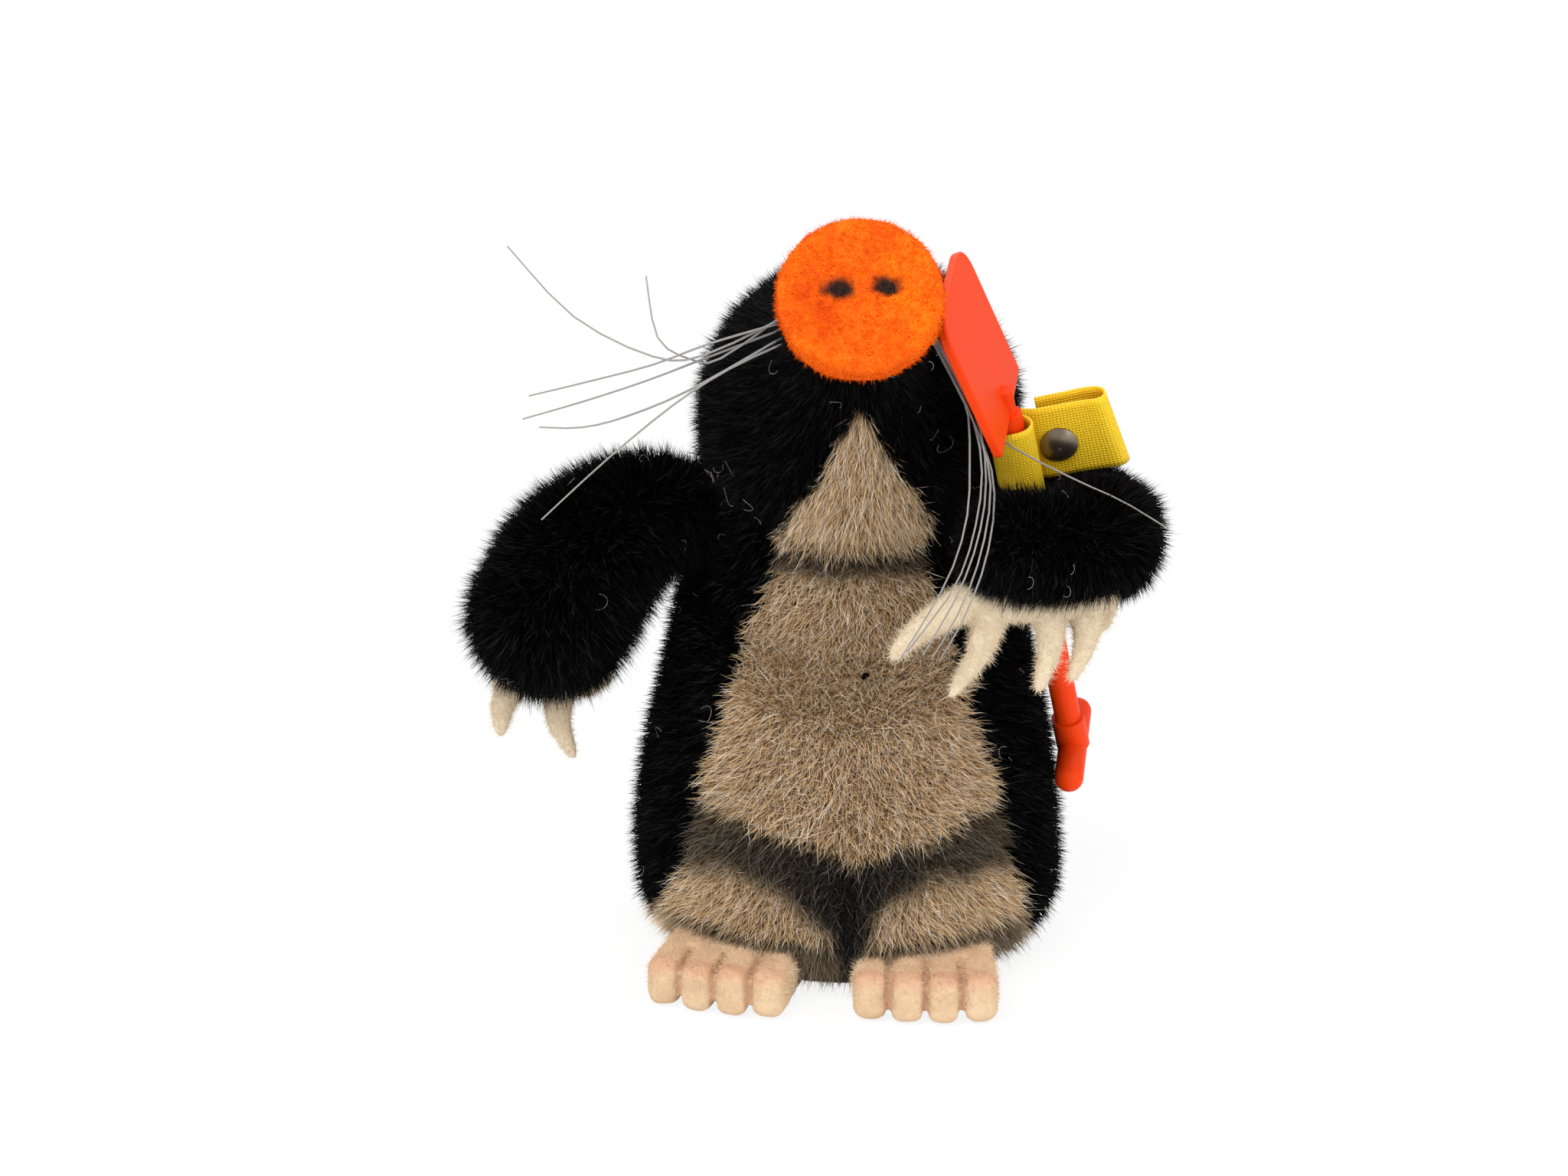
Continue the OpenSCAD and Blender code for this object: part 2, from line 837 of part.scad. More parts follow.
// The routes were chosen with the head's centre at this place.
route_head = [1, -4, 73.5];

right_whisker_routes = [
  [[-7.1, -31.5, 91.6], [-15.5, -34, 86], [-19, -35, 86], [-23, -34.5, 88.5], [-24.5, -32, 95.5]],
  [[-7.2, -31.5, 91], [-17.5, -35, 86.5], [-23.5, -36, 86.5], [-33, -34.5, 91], [-41, -32, 99]],
  [[-7.3, -31.5, 90.2], [-16.5, -35, 88], [-23.5, -36, 85.5], [-31, -36, 83.5], [-38.5, -35, 81.5]],
  [[-7.4, -31, 89.4], [-17.5, -34.5, 86], [-24.5, -36, 83.5], [-32, -36, 81], [-39.5, -34, 78.5]],
  [[-7.4, -31.1, 88.6], [-19, -35.5, 82.5], [-26.5, -37, 79.5], [-32, -36.5, 78], [-37.5, -34, 77.5]],
  [[-7.4, -31.3, 87.7], [-14.5, -36, 85], [-21, -38, 81], [-29, -39, 74.5], [-37, -38, 67]]
];

left_whisker_routes = [
  [[9.5, -30.7, 89.6], [14, -28, 80], [14.5, -32, 73.5], [14, -37, 67], [11.5, -40.3, 60], [6, -41, 50.4]],
  [[9.5, -30.7, 89], [14.5, -27.5, 79], [16, -32, 72.5], [15, -37.5, 66], [12.5, -40.5, 59.5], [7, -40.5, 51.5]],
  [[9.7, -30.2, 88.5], [15.3, -27.9, 78.4], [16.5, -32.5, 71.5], [15.5, -38, 65.5], [13, -41, 59], [9, -40, 51]],
  [[9.7, -30.2, 88], [15.2, -28.3, 77.2], [17, -33, 71], [16, -38.5, 64.5], [13.5, -41, 57.5], [10, -40, 50.5]],
  [[9.8, -29.8, 87.5], [15.7, -27.8, 76.2], [17.5, -33, 70], [16.5, -39, 63.5], [14, -41, 56.5], [11, -39, 50]],
  [[9.9, -29.2, 88.6], [17, -23, 76.5], [20, -23.5, 73.5], [27.5, -28.1, 70.3], [33.5, -29.4, 67.8], [39.5, -28, 64]]
];

module whiskers(routes) {
  color(nylon) for (route = routes) strand([for (p = route) p + head_c - route_head], whisker_r, whisker_r * 0.6);
}

// ---- What is drawn ----

base_cover();
base_board();
body_stuffing();
back_plush();
belly_plush();
foot(1);  // left_foot
foot(-1);  // right_foot
foot_sole(1);  // left_foot_sole
foot_sole(-1);  // right_foot_sole
foot_filling(1);  // left_foot_filling
foot_filling(-1);  // right_foot_filling
neck_disc_lower();
neck_washer_lower();
neck_pin();
neck_disc_upper();
neck_washer_upper();
head_stuffing();
head_plush();
chin_plush();
nose_face();
nose_band();
nose_filling();
eye(1);  // left_eye
eye(-1);  // right_eye
whiskers(left_whisker_routes);  // left_whiskers
whiskers(right_whisker_routes);  // right_whiskers
right_arm_plush();
right_arm_stuffing();
right_arm_wire();
right_hand();
left_arm_plush();
left_arm_stuffing();
left_arm_wire();
left_hand();
tag_ribbon();
tag_rivet();
rivet_washer();
shovel_blade();
shovel_shaft();
shovel_grip();
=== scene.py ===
import math

import bpy
import numpy as np
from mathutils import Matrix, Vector, noise


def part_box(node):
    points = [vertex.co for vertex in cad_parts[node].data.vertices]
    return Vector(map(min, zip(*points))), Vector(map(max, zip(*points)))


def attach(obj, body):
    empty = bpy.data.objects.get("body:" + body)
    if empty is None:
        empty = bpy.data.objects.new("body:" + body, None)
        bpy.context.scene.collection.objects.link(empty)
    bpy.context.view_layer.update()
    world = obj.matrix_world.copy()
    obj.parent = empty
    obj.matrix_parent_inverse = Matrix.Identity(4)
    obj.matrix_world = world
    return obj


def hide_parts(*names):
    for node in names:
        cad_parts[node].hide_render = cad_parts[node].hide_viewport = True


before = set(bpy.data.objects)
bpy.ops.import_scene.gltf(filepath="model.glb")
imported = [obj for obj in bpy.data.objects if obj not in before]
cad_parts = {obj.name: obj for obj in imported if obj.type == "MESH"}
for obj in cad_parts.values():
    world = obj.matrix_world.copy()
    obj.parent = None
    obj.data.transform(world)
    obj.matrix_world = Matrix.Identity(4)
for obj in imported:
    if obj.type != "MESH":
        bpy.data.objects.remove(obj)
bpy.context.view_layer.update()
scene = bpy.context.scene

# ---- Camera ----
# It stands in front, a little higher than the nose, and looks down by 15
# degrees, so that the tops of the feet are in view too.
camera = bpy.data.objects.new("camera", bpy.data.cameras.new("camera"))
scene.collection.objects.link(camera)
camera.location = (0, -0.295, 0.1276)
camera.rotation_euler = (math.radians(75), 0, math.radians(1.75))
camera.data.lens = 50.6
camera.data.sensor_width = 36
camera.data.clip_start = 0.01
scene.camera = camera

# ---- Stuffed body ----
# A bag of woven mohair plush over wood wool, black on the back and sides, with
# a grey-tan panel in front that is sprayed black below the belly. It stands on
# a stiff card under felt, and its top is gathered to the neck disc.
BASE_R, BELLY_R, BELLY_Z, NECK_R, NECK_H = 24.0, 28.5, 9.0, 19.5, 69.5
NECK_TILT = math.radians(25)
NECK_AXIS = np.array([0, -math.sin(NECK_TILT), math.cos(NECK_TILT)])
HEAD_RISE = 5.3
HEAD_C = np.array([1, -4, NECK_H + (HEAD_RISE + 4 * NECK_AXIS[1]) / NECK_AXIS[2]])
NECK_C = HEAD_C - HEAD_RISE * NECK_AXIS
NECK_FLARE = [(-60, 58.5), (-30, 58.5), (-15, 24.6), (-5, 20.7), (0, 18.9)]
BACKING, NAP = 1.2, 0.2
ACROSS = np.array([1.0, 0, 0])
FARTHEST, HALVINGS, GROUND = 60.0, 24, 0.3
# The sizes are in mm, and MM turns them into the metres of the scene.
MM = 0.001

# Hair colours. A root colour is painted shade deep in the pile, a tip colour is painted light on the
# hairs' outer ends, and a glint colour is a painted highlight.
BLACK = (0.0016, 0.0015, 0.0017)
BLACK_GLINT = (0.035, 0.033, 0.034)
TAN_SHADED_ROOT = (0.25, 0.152, 0.072)
TAN = (0.76, 0.505, 0.262)
TAN_LIT_TIP = (0.98, 0.79, 0.49)


def unit(v):
    v = np.asarray(v, float)
    return v / np.linalg.norm(v, axis=-1, keepdims=True)


def smooth(low, high, value):
    t = np.clip((value - low) / (high - low), 0, 1)
    return t * t * (3 - 2 * t)


def body_radius(z):
    low = BASE_R + (BELLY_R - BASE_R) * np.sin(np.pi / 2 * np.clip(z, 0, BELLY_Z) / BELLY_Z)
    rise = np.clip((z - BELLY_Z) / (NECK_H + 3 - BELLY_Z), 0, 1)
    high = NECK_R + (BELLY_R - NECK_R) * (1 + np.cos(np.pi * rise)) / 2
    return np.where(z < BELLY_Z, low, high)


def in_body(p):
    up = (p - NECK_C) @ NECK_AXIS
    side = np.linalg.norm(p - NECK_C - up[..., None] * NECK_AXIS, axis=-1)
    flare = np.interp(up, *zip(*NECK_FLARE))
    return (np.hypot(p[..., 0], p[..., 1]) <= body_radius(p[..., 2])) & (side <= flare)


def spokes_of(count, across, along):
    """Directions all round, in the plane of the two given ones."""
    turn = np.linspace(0, 2 * np.pi, count, endpoint=False)
    return np.cos(turn)[:, None] * across + np.sin(turn)[:, None] * along


def wrapped(inside, centres, angles, count):
    """Rings round the centres, leaning by angles, each point as far out as the solid is."""
    rows = []
    for centre, angle in zip(centres, angles):
        spokes = spokes_of(count, ACROSS, np.array([0, math.cos(angle), math.sin(angle)]))
        low, high = np.zeros(count), np.full(count, FARTHEST)
        for _ in range(HALVINGS):
            middle = (low + high) / 2
            held = inside(centre + spokes * middle[:, None])
            low, high = np.where(held, middle, low), np.where(held, high, middle)
        rows.append(centre + spokes * low[:, None])
    return np.array(rows)


def rough(points, size, seed):
    """Smooth noise from -1 to 1 at each point, with features of that size in mm."""
    flat = np.reshape(points, (-1, 3)) / size + seed * 7.31
    return np.array([noise.noise(Vector(p)) for p in flat]).reshape(np.shape(points)[:-1])


def mesh_object(name, points, faces, materials=(), smooth_faces=True):
    mesh = bpy.data.meshes.new(name)
    mesh.from_pydata([tuple(p) for p in np.asarray(points) * MM], [], faces)
    mesh.polygons.foreach_set("use_smooth", [smooth_faces] * len(mesh.polygons))
    for material in materials:
        mesh.materials.append(material)
    mesh.validate()
    made = bpy.data.objects.new(name, mesh)
    scene.collection.objects.link(made)
    return made


def paint(thing, name, values):
    kind = "FLOAT_VECTOR" if np.ndim(values) == 2 else "FLOAT"
    layer = thing.data.attributes.new(name, kind, "POINT")
    layer.data.foreach_set("vector" if np.ndim(values) == 2 else "value", np.ravel(values))


def finished(thing):
    """Turns what the modifiers make into the piece's own plain mesh."""
    bpy.context.view_layer.update()
    graph = bpy.context.evaluated_depsgraph_get()
    mesh = bpy.data.meshes.new_from_object(thing.evaluated_get(graph),
                                           preserve_all_data_layers=True, depsgraph=graph)
    mesh.name = thing.name
    thing.modifiers.clear()
    thing.data = mesh
    return thing


def normals_of(thing):
    flat = np.zeros(len(thing.data.vertices) * 3, np.float32)
    thing.data.vertex_normals.foreach_get("vector", flat)
    return flat.reshape(-1, 3)


def places_of(thing):
    flat = np.zeros(len(thing.data.vertices) * 3, np.float32)
    thing.data.vertices.foreach_get("co", flat)
    return flat.reshape(-1, 3) / MM


def move_to(thing, at):
    thing.data.vertices.foreach_set("co", np.ravel(at * MM).astype(np.float32))


def comb(thing, flow, sink, swirl, seed, hard=None, near=1.2, far=3.0, fringe=0.0):
    """Paints the way the hairs lie, and shears them where something hard lies in them."""
    outward, at = normals_of(thing), places_of(thing)
    way = np.array([flow(p) for p in at])
    way = way - np.sum(way * outward, 1)[:, None] * outward
    way = way / np.maximum(np.linalg.norm(way, axis=1, keepdims=True), 0.2)
    side = np.cross(outward, way)
    turn = rough(at, 9, seed)[:, None] * swirl * 2.4
    way = way * np.cos(turn) + side * np.sin(turn)
    hanging = fringe * smooth(-0.3, 0.4, -outward[:, 2])
    paint(thing, "comb", way * (1 + 1.6 * hanging)[:, None] - outward * sink)
    left = smooth(0.4, 4.0, at[:, 2]) * (1 + hanging)
    if hard is not None:
        for height in (0.0, 1.3, 2.6):
            gap = np.array([np.min(np.sum((hard - p) ** 2, 1)) for p in at + outward * height]) ** 0.5
            left = np.minimum(left, NAP + (1 - NAP) * smooth(near, far, gap))
    paint(thing, "left", left)


def add(tree, kind, inputs=None, **settings):
    """Adds a node, sets it up and links or fills its sockets."""
    made = tree.nodes.new(kind)
    for key, value in settings.items():
        setattr(made, key, value)
    for key, value in (inputs or {}).items():
        if isinstance(key, int):
            socket = made.inputs[key]
        else:
            socket = next(s for s in made.inputs if s.name == key and s.enabled)
        if isinstance(value, bpy.types.NodeSocket):
            tree.links.new(value, socket)
        else:
            socket.default_value = value
    return made


def out(node, name=None):
    return next(s for s in node.outputs if s.enabled and name in (None, s.name))


def pile_tree():
    """Hairs on a woven backing: tapered, bent the way they're combed, in locks."""
    tree = bpy.data.node_groups.new("mohair pile", "GeometryNodeTree")
    face = tree.interface
    face.new_socket("Backing", in_out="INPUT", socket_type="NodeSocketGeometry")
    for label, value in PILE.items():
        kind = "NodeSocketInt" if label in ("Seed", "Bends") else "NodeSocketFloat"
        face.new_socket(label, in_out="INPUT", socket_type=kind).default_value = value
    face.new_socket("Fibre", in_out="INPUT", socket_type="NodeSocketMaterial")
    face.new_socket("Pile", in_out="OUTPUT", socket_type="NodeSocketGeometry")
    given = tree.nodes.new("NodeGroupInput").outputs

    def math_node(operation, a, b):
        return out(add(tree, "ShaderNodeMath", {0: a, 1: b}, operation=operation))

    def vector_node(operation, a, b):
        key = 3 if operation == "SCALE" else 1
        made = add(tree, "ShaderNodeVectorMath", {0: a, key: b}, operation=operation)
        return made.outputs["Vector"]

    def random(low, high, seed):
        return add(tree, "FunctionNodeRandomValue",
                   {2: low, 3: high, 8: math_node("ADD", given["Seed"], seed)}).outputs[1]

    def keep(geometry, name, value, kind="FLOAT"):
        return out(add(tree, "GeometryNodeStoreNamedAttribute",
                       {"Geometry": geometry, "Name": name, "Value": value},
                       data_type=kind, domain="POINT"))

    def kept(name, kind="FLOAT"):
        return out(add(tree, "GeometryNodeInputNamedAttribute", {"Name": name}, data_type=kind))

    place = out(add(tree, "GeometryNodeInputPosition"))
    grows = add(tree, "FunctionNodeCompare", {0: kept("left"), 1: 0.12}, operation="GREATER_THAN")
    roots = add(tree, "GeometryNodeDistributePointsOnFaces",
                {"Mesh": given["Backing"], "Selection": out(grows),
                 "Density": given["Density"], "Seed": given["Seed"]})
    points = keep(out(roots, "Points"), "root", place, "FLOAT_VECTOR")
    points = keep(points, "lot", random(0.0, 1.0, 1))
    reach = math_node("MULTIPLY", given["Length"], random(0.6, 1.1, 2))
    reach = math_node("MULTIPLY", reach, kept("left"))
    points = keep(points, "reach", reach)
    # Each hair keeps its own number, so that it strays as a whole.
    points = keep(points, "hair", out(add(tree, "GeometryNodeInputIndex")), "INT")

    hair = add(tree, "GeometryNodeMeshCone",
               {"Vertices": 3, "Side Segments": given["Bends"], "Radius Top": 0.0,
                "Radius Bottom": 1.0, "Depth": 1.0}, fill_type="NGON")
    height = out(add(tree, "ShaderNodeSeparateXYZ", {0: place}), "Z")
    hair = keep(out(hair, "Mesh"), "along", height)

    width = math_node("MULTIPLY", given["Width"], random(0.3, 0.62, 3))
    size = out(add(tree, "ShaderNodeCombineXYZ", {0: width, 1: width, 2: kept("reach")}))
    spin = add(tree, "FunctionNodeAxisAngleToRotation",
               {"Axis": (0.0, 0.0, 1.0), "Angle": random(0.0, 6.283, 4)})
    turned = add(tree, "FunctionNodeRotateRotation",
                 {0: roots.outputs["Rotation"], 1: out(spin)}, rotation_space="LOCAL")
    placed = add(tree, "GeometryNodeInstanceOnPoints",
                 {"Points": points, "Instance": hair, "Rotation": out(turned), "Scale": size})
    real = out(add(tree, "GeometryNodeRealizeInstances", {"Geometry": out(placed)}))

    root, along = kept("root", "FLOAT_VECTOR"), kept("along")
    rate = math_node("DIVIDE", 1.0, given["Lock Size"])
    spot = vector_node("SCALE", root, rate)
    locks = add(tree, "ShaderNodeTexVoronoi", {"Vector": spot, "Scale": 1.0, "Randomness": 1.0},
                feature="F1", voronoi_dimensions="3D")
    centre = vector_node("SCALE", locks.outputs["Position"], given["Lock Size"])
    pull = vector_node("SCALE", vector_node("SUBTRACT", centre, root), given["Lock Pull"])
    lean = vector_node("SCALE", kept("comb", "FLOAT_VECTOR"),
                       math_node("MULTIPLY", given["Lean"], kept("reach")))
    wild = add(tree, "FunctionNodeRandomValue",
               {0: (-1.0, -1.0, -1.0), 1: (1.0, 1.0, 1.0), 7: kept("hair", "INT"),
                8: math_node("ADD", given["Seed"], 9)}, data_type="FLOAT_VECTOR").outputs[0]
    stray = vector_node("SCALE", wild, math_node("MULTIPLY", given["Stray"], kept("reach")))
    bend = vector_node("ADD", vector_node("ADD", pull, lean), stray)
    bend = vector_node("SCALE", bend, math_node("POWER", along, 1.6))
    cut = out(add(tree, "GeometryNodeSetPosition", {"Geometry": real, "Offset": bend}))
    for name in ("root", "reach", "comb", "hair", "left"):
        cut = out(add(tree, "GeometryNodeRemoveAttribute", {"Geometry": cut, "Name": name}))
    dressed = add(tree, "GeometryNodeSetMaterial", {"Geometry": cut, "Material": given["Fibre"]})
    tree.links.new(out(dressed), tree.nodes.new("NodeGroupOutput").inputs[0])
    return tree


# Hairs to the square metre, and sizes in metres.
PILE = {"Density": 13e6, "Length": 0.0028, "Width": 0.00017, "Lean": 0.32, "Lock Size": 0.0014,
        "Lock Pull": 0.32, "Stray": 0.42, "Bends": 1, "Seed": 1}
pile = pile_tree()


def grow(name, backing, fibre, body, slot, **sizes):
    """Grows a pile on a backing, and lets it ride on the backing's body."""
    fur = bpy.data.objects.new(name, backing.data.copy())
    scene.collection.objects.link(fur)
    growth = fur.modifiers.new("pile", "NODES")
    growth.node_group = pile
    values = {**PILE, **sizes, "Fibre": fibre}
    for item in pile.interface.items_tree:
        if item.in_out == "INPUT" and item.name in values:
            growth[item.identifier] = values[item.name]
    finished(fur)
    fur.data.materials.clear()
    fur.data.materials.append(fibre)
    fur.data.polygons.foreach_set("material_index", [0] * len(fur.data.polygons))
    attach(fur, body)
    return fur


def new_material(name, rough_at, shine):
    """A new material, with its node tree and its shader."""
    made = bpy.data.materials.new(name)
    made.use_nodes = True
    shader = made.node_tree.nodes["Principled BSDF"]
    shader.inputs["Roughness"].default_value = rough_at
    shader.inputs["Specular IOR Level"].default_value = shine
    return made, made.node_tree, shader


def mixed_colour(tree, share, one, other):
    """From one colour to the other by share. Each is a socket or red, green and blue."""
    one, other = (c if isinstance(c, bpy.types.NodeSocket) else (*c, 1) for c in (one, other))
    return add(tree, "ShaderNodeMix", {0: share, 6: one, 7: other}, data_type="RGBA").outputs[2]


def painted(tree, name):
    return add(tree, "ShaderNodeAttribute", attribute_name=name).outputs["Fac"]


def clouds(tree, place, scale, detail, **more):
    values = {"Vector": place, "Scale": scale, "Detail": detail, **more}
    return add(tree, "ShaderNodeTexNoise", values).outputs[0]


def surface(tree, shader, colour, height, strength, depth):
    """Gives the shader its colour and a fine relief."""
    tree.links.new(colour, shader.inputs["Base Color"])
    bump = add(tree, "ShaderNodeBump", {"Strength": strength, "Distance": depth, "Height": height})
    tree.links.new(out(bump), shader.inputs["Normal"])


def fibre_material(name, root, middle, tip, glint, rough_at, shine, spray=None):
    """Hair colours from root to tip, different for each hair, with the spray colour where told, which
    on the belly panel also stands for a painted shadow. The dark root colour is painted shade deep in
    the pile, the light tip colour is painted light, and the glint colour is a painted highlight on a
    random share of the hairs.
    """
    made, tree, shader = new_material(name, rough_at, shine)
    # Painted shade and light: the root colour darkens the hairs' lower parts, and the tip colour
    # lightens their outer ends.
    colour = mixed_colour(tree, painted(tree, "along"), root, middle)
    end = add(tree, "ShaderNodeMapRange", {0: painted(tree, "along"), 1: 0.55, 2: 1.0})
    colour = mixed_colour(tree, out(end), colour, tip)
    # Painted highlight: a random share of the hairs take the glint colour.
    lit = add(tree, "ShaderNodeMapRange", {0: painted(tree, "lot"), 1: 0.80, 2: 0.97})
    lit = add(tree, "ShaderNodeMath", {0: out(lit), 1: 0.8}, operation="MULTIPLY")
    colour = mixed_colour(tree, out(lit), colour, glint)
    if spray:
        colour = mixed_colour(tree, painted(tree, "spray"), colour, spray)
    tree.links.new(colour, shader.inputs["Base Color"])
    return made


def woven_material(name, colour, other, scale=900, depth=0.0003, rough_at=0.9, shine=0.2, spray=None):
    """Backing cloth, felt or card: two close colours and a fine bump."""
    made, tree, shader = new_material(name, rough_at, shine)
    place = add(tree, "ShaderNodeTexCoord").outputs["Object"]
    fine = clouds(tree, place, scale, 6.0, Roughness=0.7)
    broad = clouds(tree, place, scale / 6, 3.0, Roughness=0.6)
    both = add(tree, "ShaderNodeMath", {0: fine, 1: broad}, operation="ADD")
    share = add(tree, "ShaderNodeMapRange", {0: out(both), 1: 0.75, 2: 1.25})
    mixed = mixed_colour(tree, out(share), colour, other)
    if spray:
        mixed = mixed_colour(tree, painted(tree, "spray"), mixed, spray)
    surface(tree, shader, mixed, out(both), 0.7, depth)
    return made


# Each hair below is dark at the root and light at the tip as painted shade and light, and some hairs
# take a painted highlight. The tan hair's last colour is the spray black, which also serves for the
# painted shadow above the toes.
black_hair = fibre_material("black mohair", (0.0006, 0.0006, 0.0006), BLACK, (0.004, 0.0037, 0.004),
                            BLACK_GLINT, 0.6, 0.05)
tan_hair = fibre_material("grey-tan mohair", TAN_SHADED_ROOT, TAN, TAN_LIT_TIP, (0.95, 0.90, 0.80), 0.5, 0.2,
                          (0.012, 0.011, 0.010))
# These hairs are pale, nearly white at the tips: a painted highlight scattered through the tan pile.
glint_hair = fibre_material("mohair with painted highlights", TAN, (0.85, 0.78, 0.66), (1.0, 0.97, 0.9),
                            (1.0, 0.98, 0.95), 0.25, 0.5, (0.10, 0.095, 0.09))
black_cloth = woven_material("black backing", (0.0012, 0.0012, 0.0012), (0.003, 0.003, 0.003),
                             shine=0.02)
# The backing's spray colour also serves for the painted shadow above the toes.
tan_cloth = woven_material("grey-tan backing", (0.16, 0.115, 0.068), (0.26, 0.19, 0.11),
                           spray=(0.015, 0.014, 0.012))


def thickened(made, body, node):
    wall = made.modifiers.new("wall", "SOLIDIFY")
    wall.thickness = BACKING * MM
    wall.offset = -1
    finished(made)
    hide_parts(node)
    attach(made, body)


BODY_ROWS, BODY_TURN = 84, 132
share = np.linspace(0, 1, BODY_ROWS)
body_centres = [np.array([NECK_C[0] * s * s, NECK_C[1] * s ** 3, NECK_C[2] * s]) for s in share]
body_angles = [NECK_TILT * s ** 2 * (3 - 2 * s) for s in share]
body_grid = wrapped(in_body, body_centres, body_angles, BODY_TURN)
body_grid = body_grid + rough(body_grid, 11, 3)[..., None] * 0.5 * unit(
    body_grid - np.array(body_centres)[:, None])
body_grid[:, :, 2] = np.maximum(body_grid[:, :, 2], GROUND)

# The panel's edges, as half widths at heights, for the viewer's left and right.
PANEL_LEFT = [(0, 30), (4, 28), (7.5, 24.4), (11, 22.6), (16, 21), (22, 19.2), (28, 18.2), (34, 16.2),
              (39.5, 14.6), (49, 12.2), (53.5, 9.8), (58, 8.6), (70, 8.2)]
PANEL_RIGHT = [(0, 25.5), (8, 23.4), (15, 21.6), (22, 19.8), (28, 18.4), (34, 16.4), (39.5, 15),
               (49, 12.2), (53.5, 10.2), (58, 9), (70, 8.4)]


def face_middles(grid):
    """The middle of each face between the rings."""
    beside = np.roll(grid, -1, 1)
    return (grid[:-1] + beside[:-1] + grid[1:] + beside[1:]) / 4


middles = face_middles(body_grid)
edge = np.where(middles[..., 0] < 0, np.interp(middles[..., 2], *zip(*PANEL_LEFT)),
                np.interp(middles[..., 2], *zip(*PANEL_RIGHT)))
edge = edge + rough(middles, 5, 8) * 0.8
in_panel = (np.abs(middles[..., 0]) < edge) & (middles[..., 1] < 0)


def capped(grid, chosen=None, ends=True):
    """The points and faces of a tube of rings, with a fan over each end."""
    rows, count = grid.shape[:2]
    points, faces = list(grid.reshape(-1, 3)), []
    for k in range(rows - 1):
        for s in range(count):
            if chosen is None or chosen[k, s]:
                a, b = k * count + s, k * count + (s + 1) % count
                faces.append((a, b, b + count, a + count))
    for row, flip in ((0, True), (rows - 1, False)) if ends else ():
        points.append(grid[row].mean(0))
        for s in range(count):
            a, b = row * count + s, row * count + (s + 1) % count
            faces.append((b, a, len(points) - 1) if flip else (a, b, len(points) - 1))
    return np.array(points), faces


def used_only(points, faces):
    """Drops the points that no face uses."""
    names = sorted({i for f in faces for i in f})
    where = {old: new for new, old in enumerate(names)}
    return points[names], [tuple(where[i] for i in f) for f in faces]


CREASE_Z, SEAM_X = 57, 0.6
# The black band's upper and lower edge, as heights at places across.
BAND_TOP = [(-30, 27), (-20, 26), (-14.2, 23.8), (-6.6, 22), (0.3, 19.9), (7.3, 21.1), (13.4, 22.8),
            (19.1, 25.4), (30, 27)]
BAND_LOW = [(-30, 15), (-23.5, 15.6), (-15.8, 17.2), (-8.6, 15.7), (-4.5, 12), (-2, 9.4), (-0.7, 3),
            (0, -3), (1, 3), (2.5, 8.3), (4.4, 13.7), (9.4, 16.2), (16, 16.8), (22, 16), (30, 15)]


def belly_spray_and_shade(p):
    """How black the panel is made: a sprayed band and seam, a darker line along the neck's crease, and
    a painted shadow just above the toes, where the belly's pile shades them.
    """
    x, z = p[:, 0], p[:, 2]
    wave = rough(p, 3, 5) * 1.3
    low = np.interp(x, *zip(*BAND_LOW))
    band = smooth(0.6, -1.4, z - np.interp(x, *zip(*BAND_TOP)) + wave)
    band = band * smooth(-1.8, 2.2, z - low + wave)
    band = np.clip(band * 1.3, 0, 1) * np.clip(1.0 - 0.009 * np.abs(x), 0, 1)
    crease = smooth(2.0, 0.6, np.abs(z - CREASE_Z + wave * 0.3)) * 0.85
    seam = smooth(1.9, 0.7, np.abs(x - SEAM_X)) * smooth(12, 8, z) * 0.9
    # Painted shadow: a dark line on the panel just above the feet, where the belly's pile shades the
    # toes.
    toe_shadow = smooth(9.4, 7.6, z + wave * 0.3) * smooth(26, 21, np.abs(x - 0.5)) * 0.75
    return np.clip(np.maximum.reduce([band, crease, seam, toe_shadow]), 0, 1)


def down(p):
    """Hair on the body hangs down and a little outwards."""
    return np.array([p[0] * 0.02, p[1] * 0.02, -1.0])


for name, chosen, cloth, slot in (("belly", in_panel, tan_cloth, "tan_plush"),
                                  ("back", ~in_panel, black_cloth, "black_plush")):
    sprayed_and_shaded = slot == "tan_plush"
    points, faces = used_only(*capped(body_grid, chosen, not sprayed_and_shaded))
    cover = mesh_object(f"{name}_cover", points, faces, [cloth])
    comb(cover, down, 0.3, 0.5, 2)
    # On the panel this layer holds the sprayed band and seam, the darker crease line and the painted
    # shadow above the toes.
    paint(cover, "spray", belly_spray_and_shade(places_of(cover)) if sprayed_and_shaded else np.zeros(len(points)))
    if sprayed_and_shaded:
        grow("belly_pile", cover, tan_hair, "body", slot, Density=16e6, Length=0.0026, Lean=0.25,
             Stray=0.5, Seed=3)
        # The glint layer: sparse pale hairs that stand for a painted highlight on the tan pile.
        grow("belly_glints", cover, glint_hair, "body", slot, Density=1.7e6, Length=0.0030,
             Width=0.00013, Lean=0.3, Stray=0.85, Bends=2, Seed=4)
    else:
        for k in (1, 2):
            grow(f"back_pile_{k}", cover, black_hair, "body", slot, Density=4.4e6, Length=0.0025,
                 Width=0.00024, Seed=10 + k)
    thickened(cover, "body", f"{name}_plush")

# ---- Shovel ----
# Moulded in red-orange plastic: a flat blade with rounded corners, a round shaft
# and a T grip. It lies in the crook of the left arm, and it comes before the
# head and the arms because their pile is pressed down where it lies.
SHOULDER_Z = NECK_H - 9.5
LEFT_SHOULDER = np.array([19.5, -4, SHOULDER_Z])
RIGHT_SHOULDER = np.array([-19.5, -5, SHOULDER_Z])
CROOK = LEFT_SHOULDER + np.array([3.9, -10.5, 1.5])
SHAFT_R = 1.8


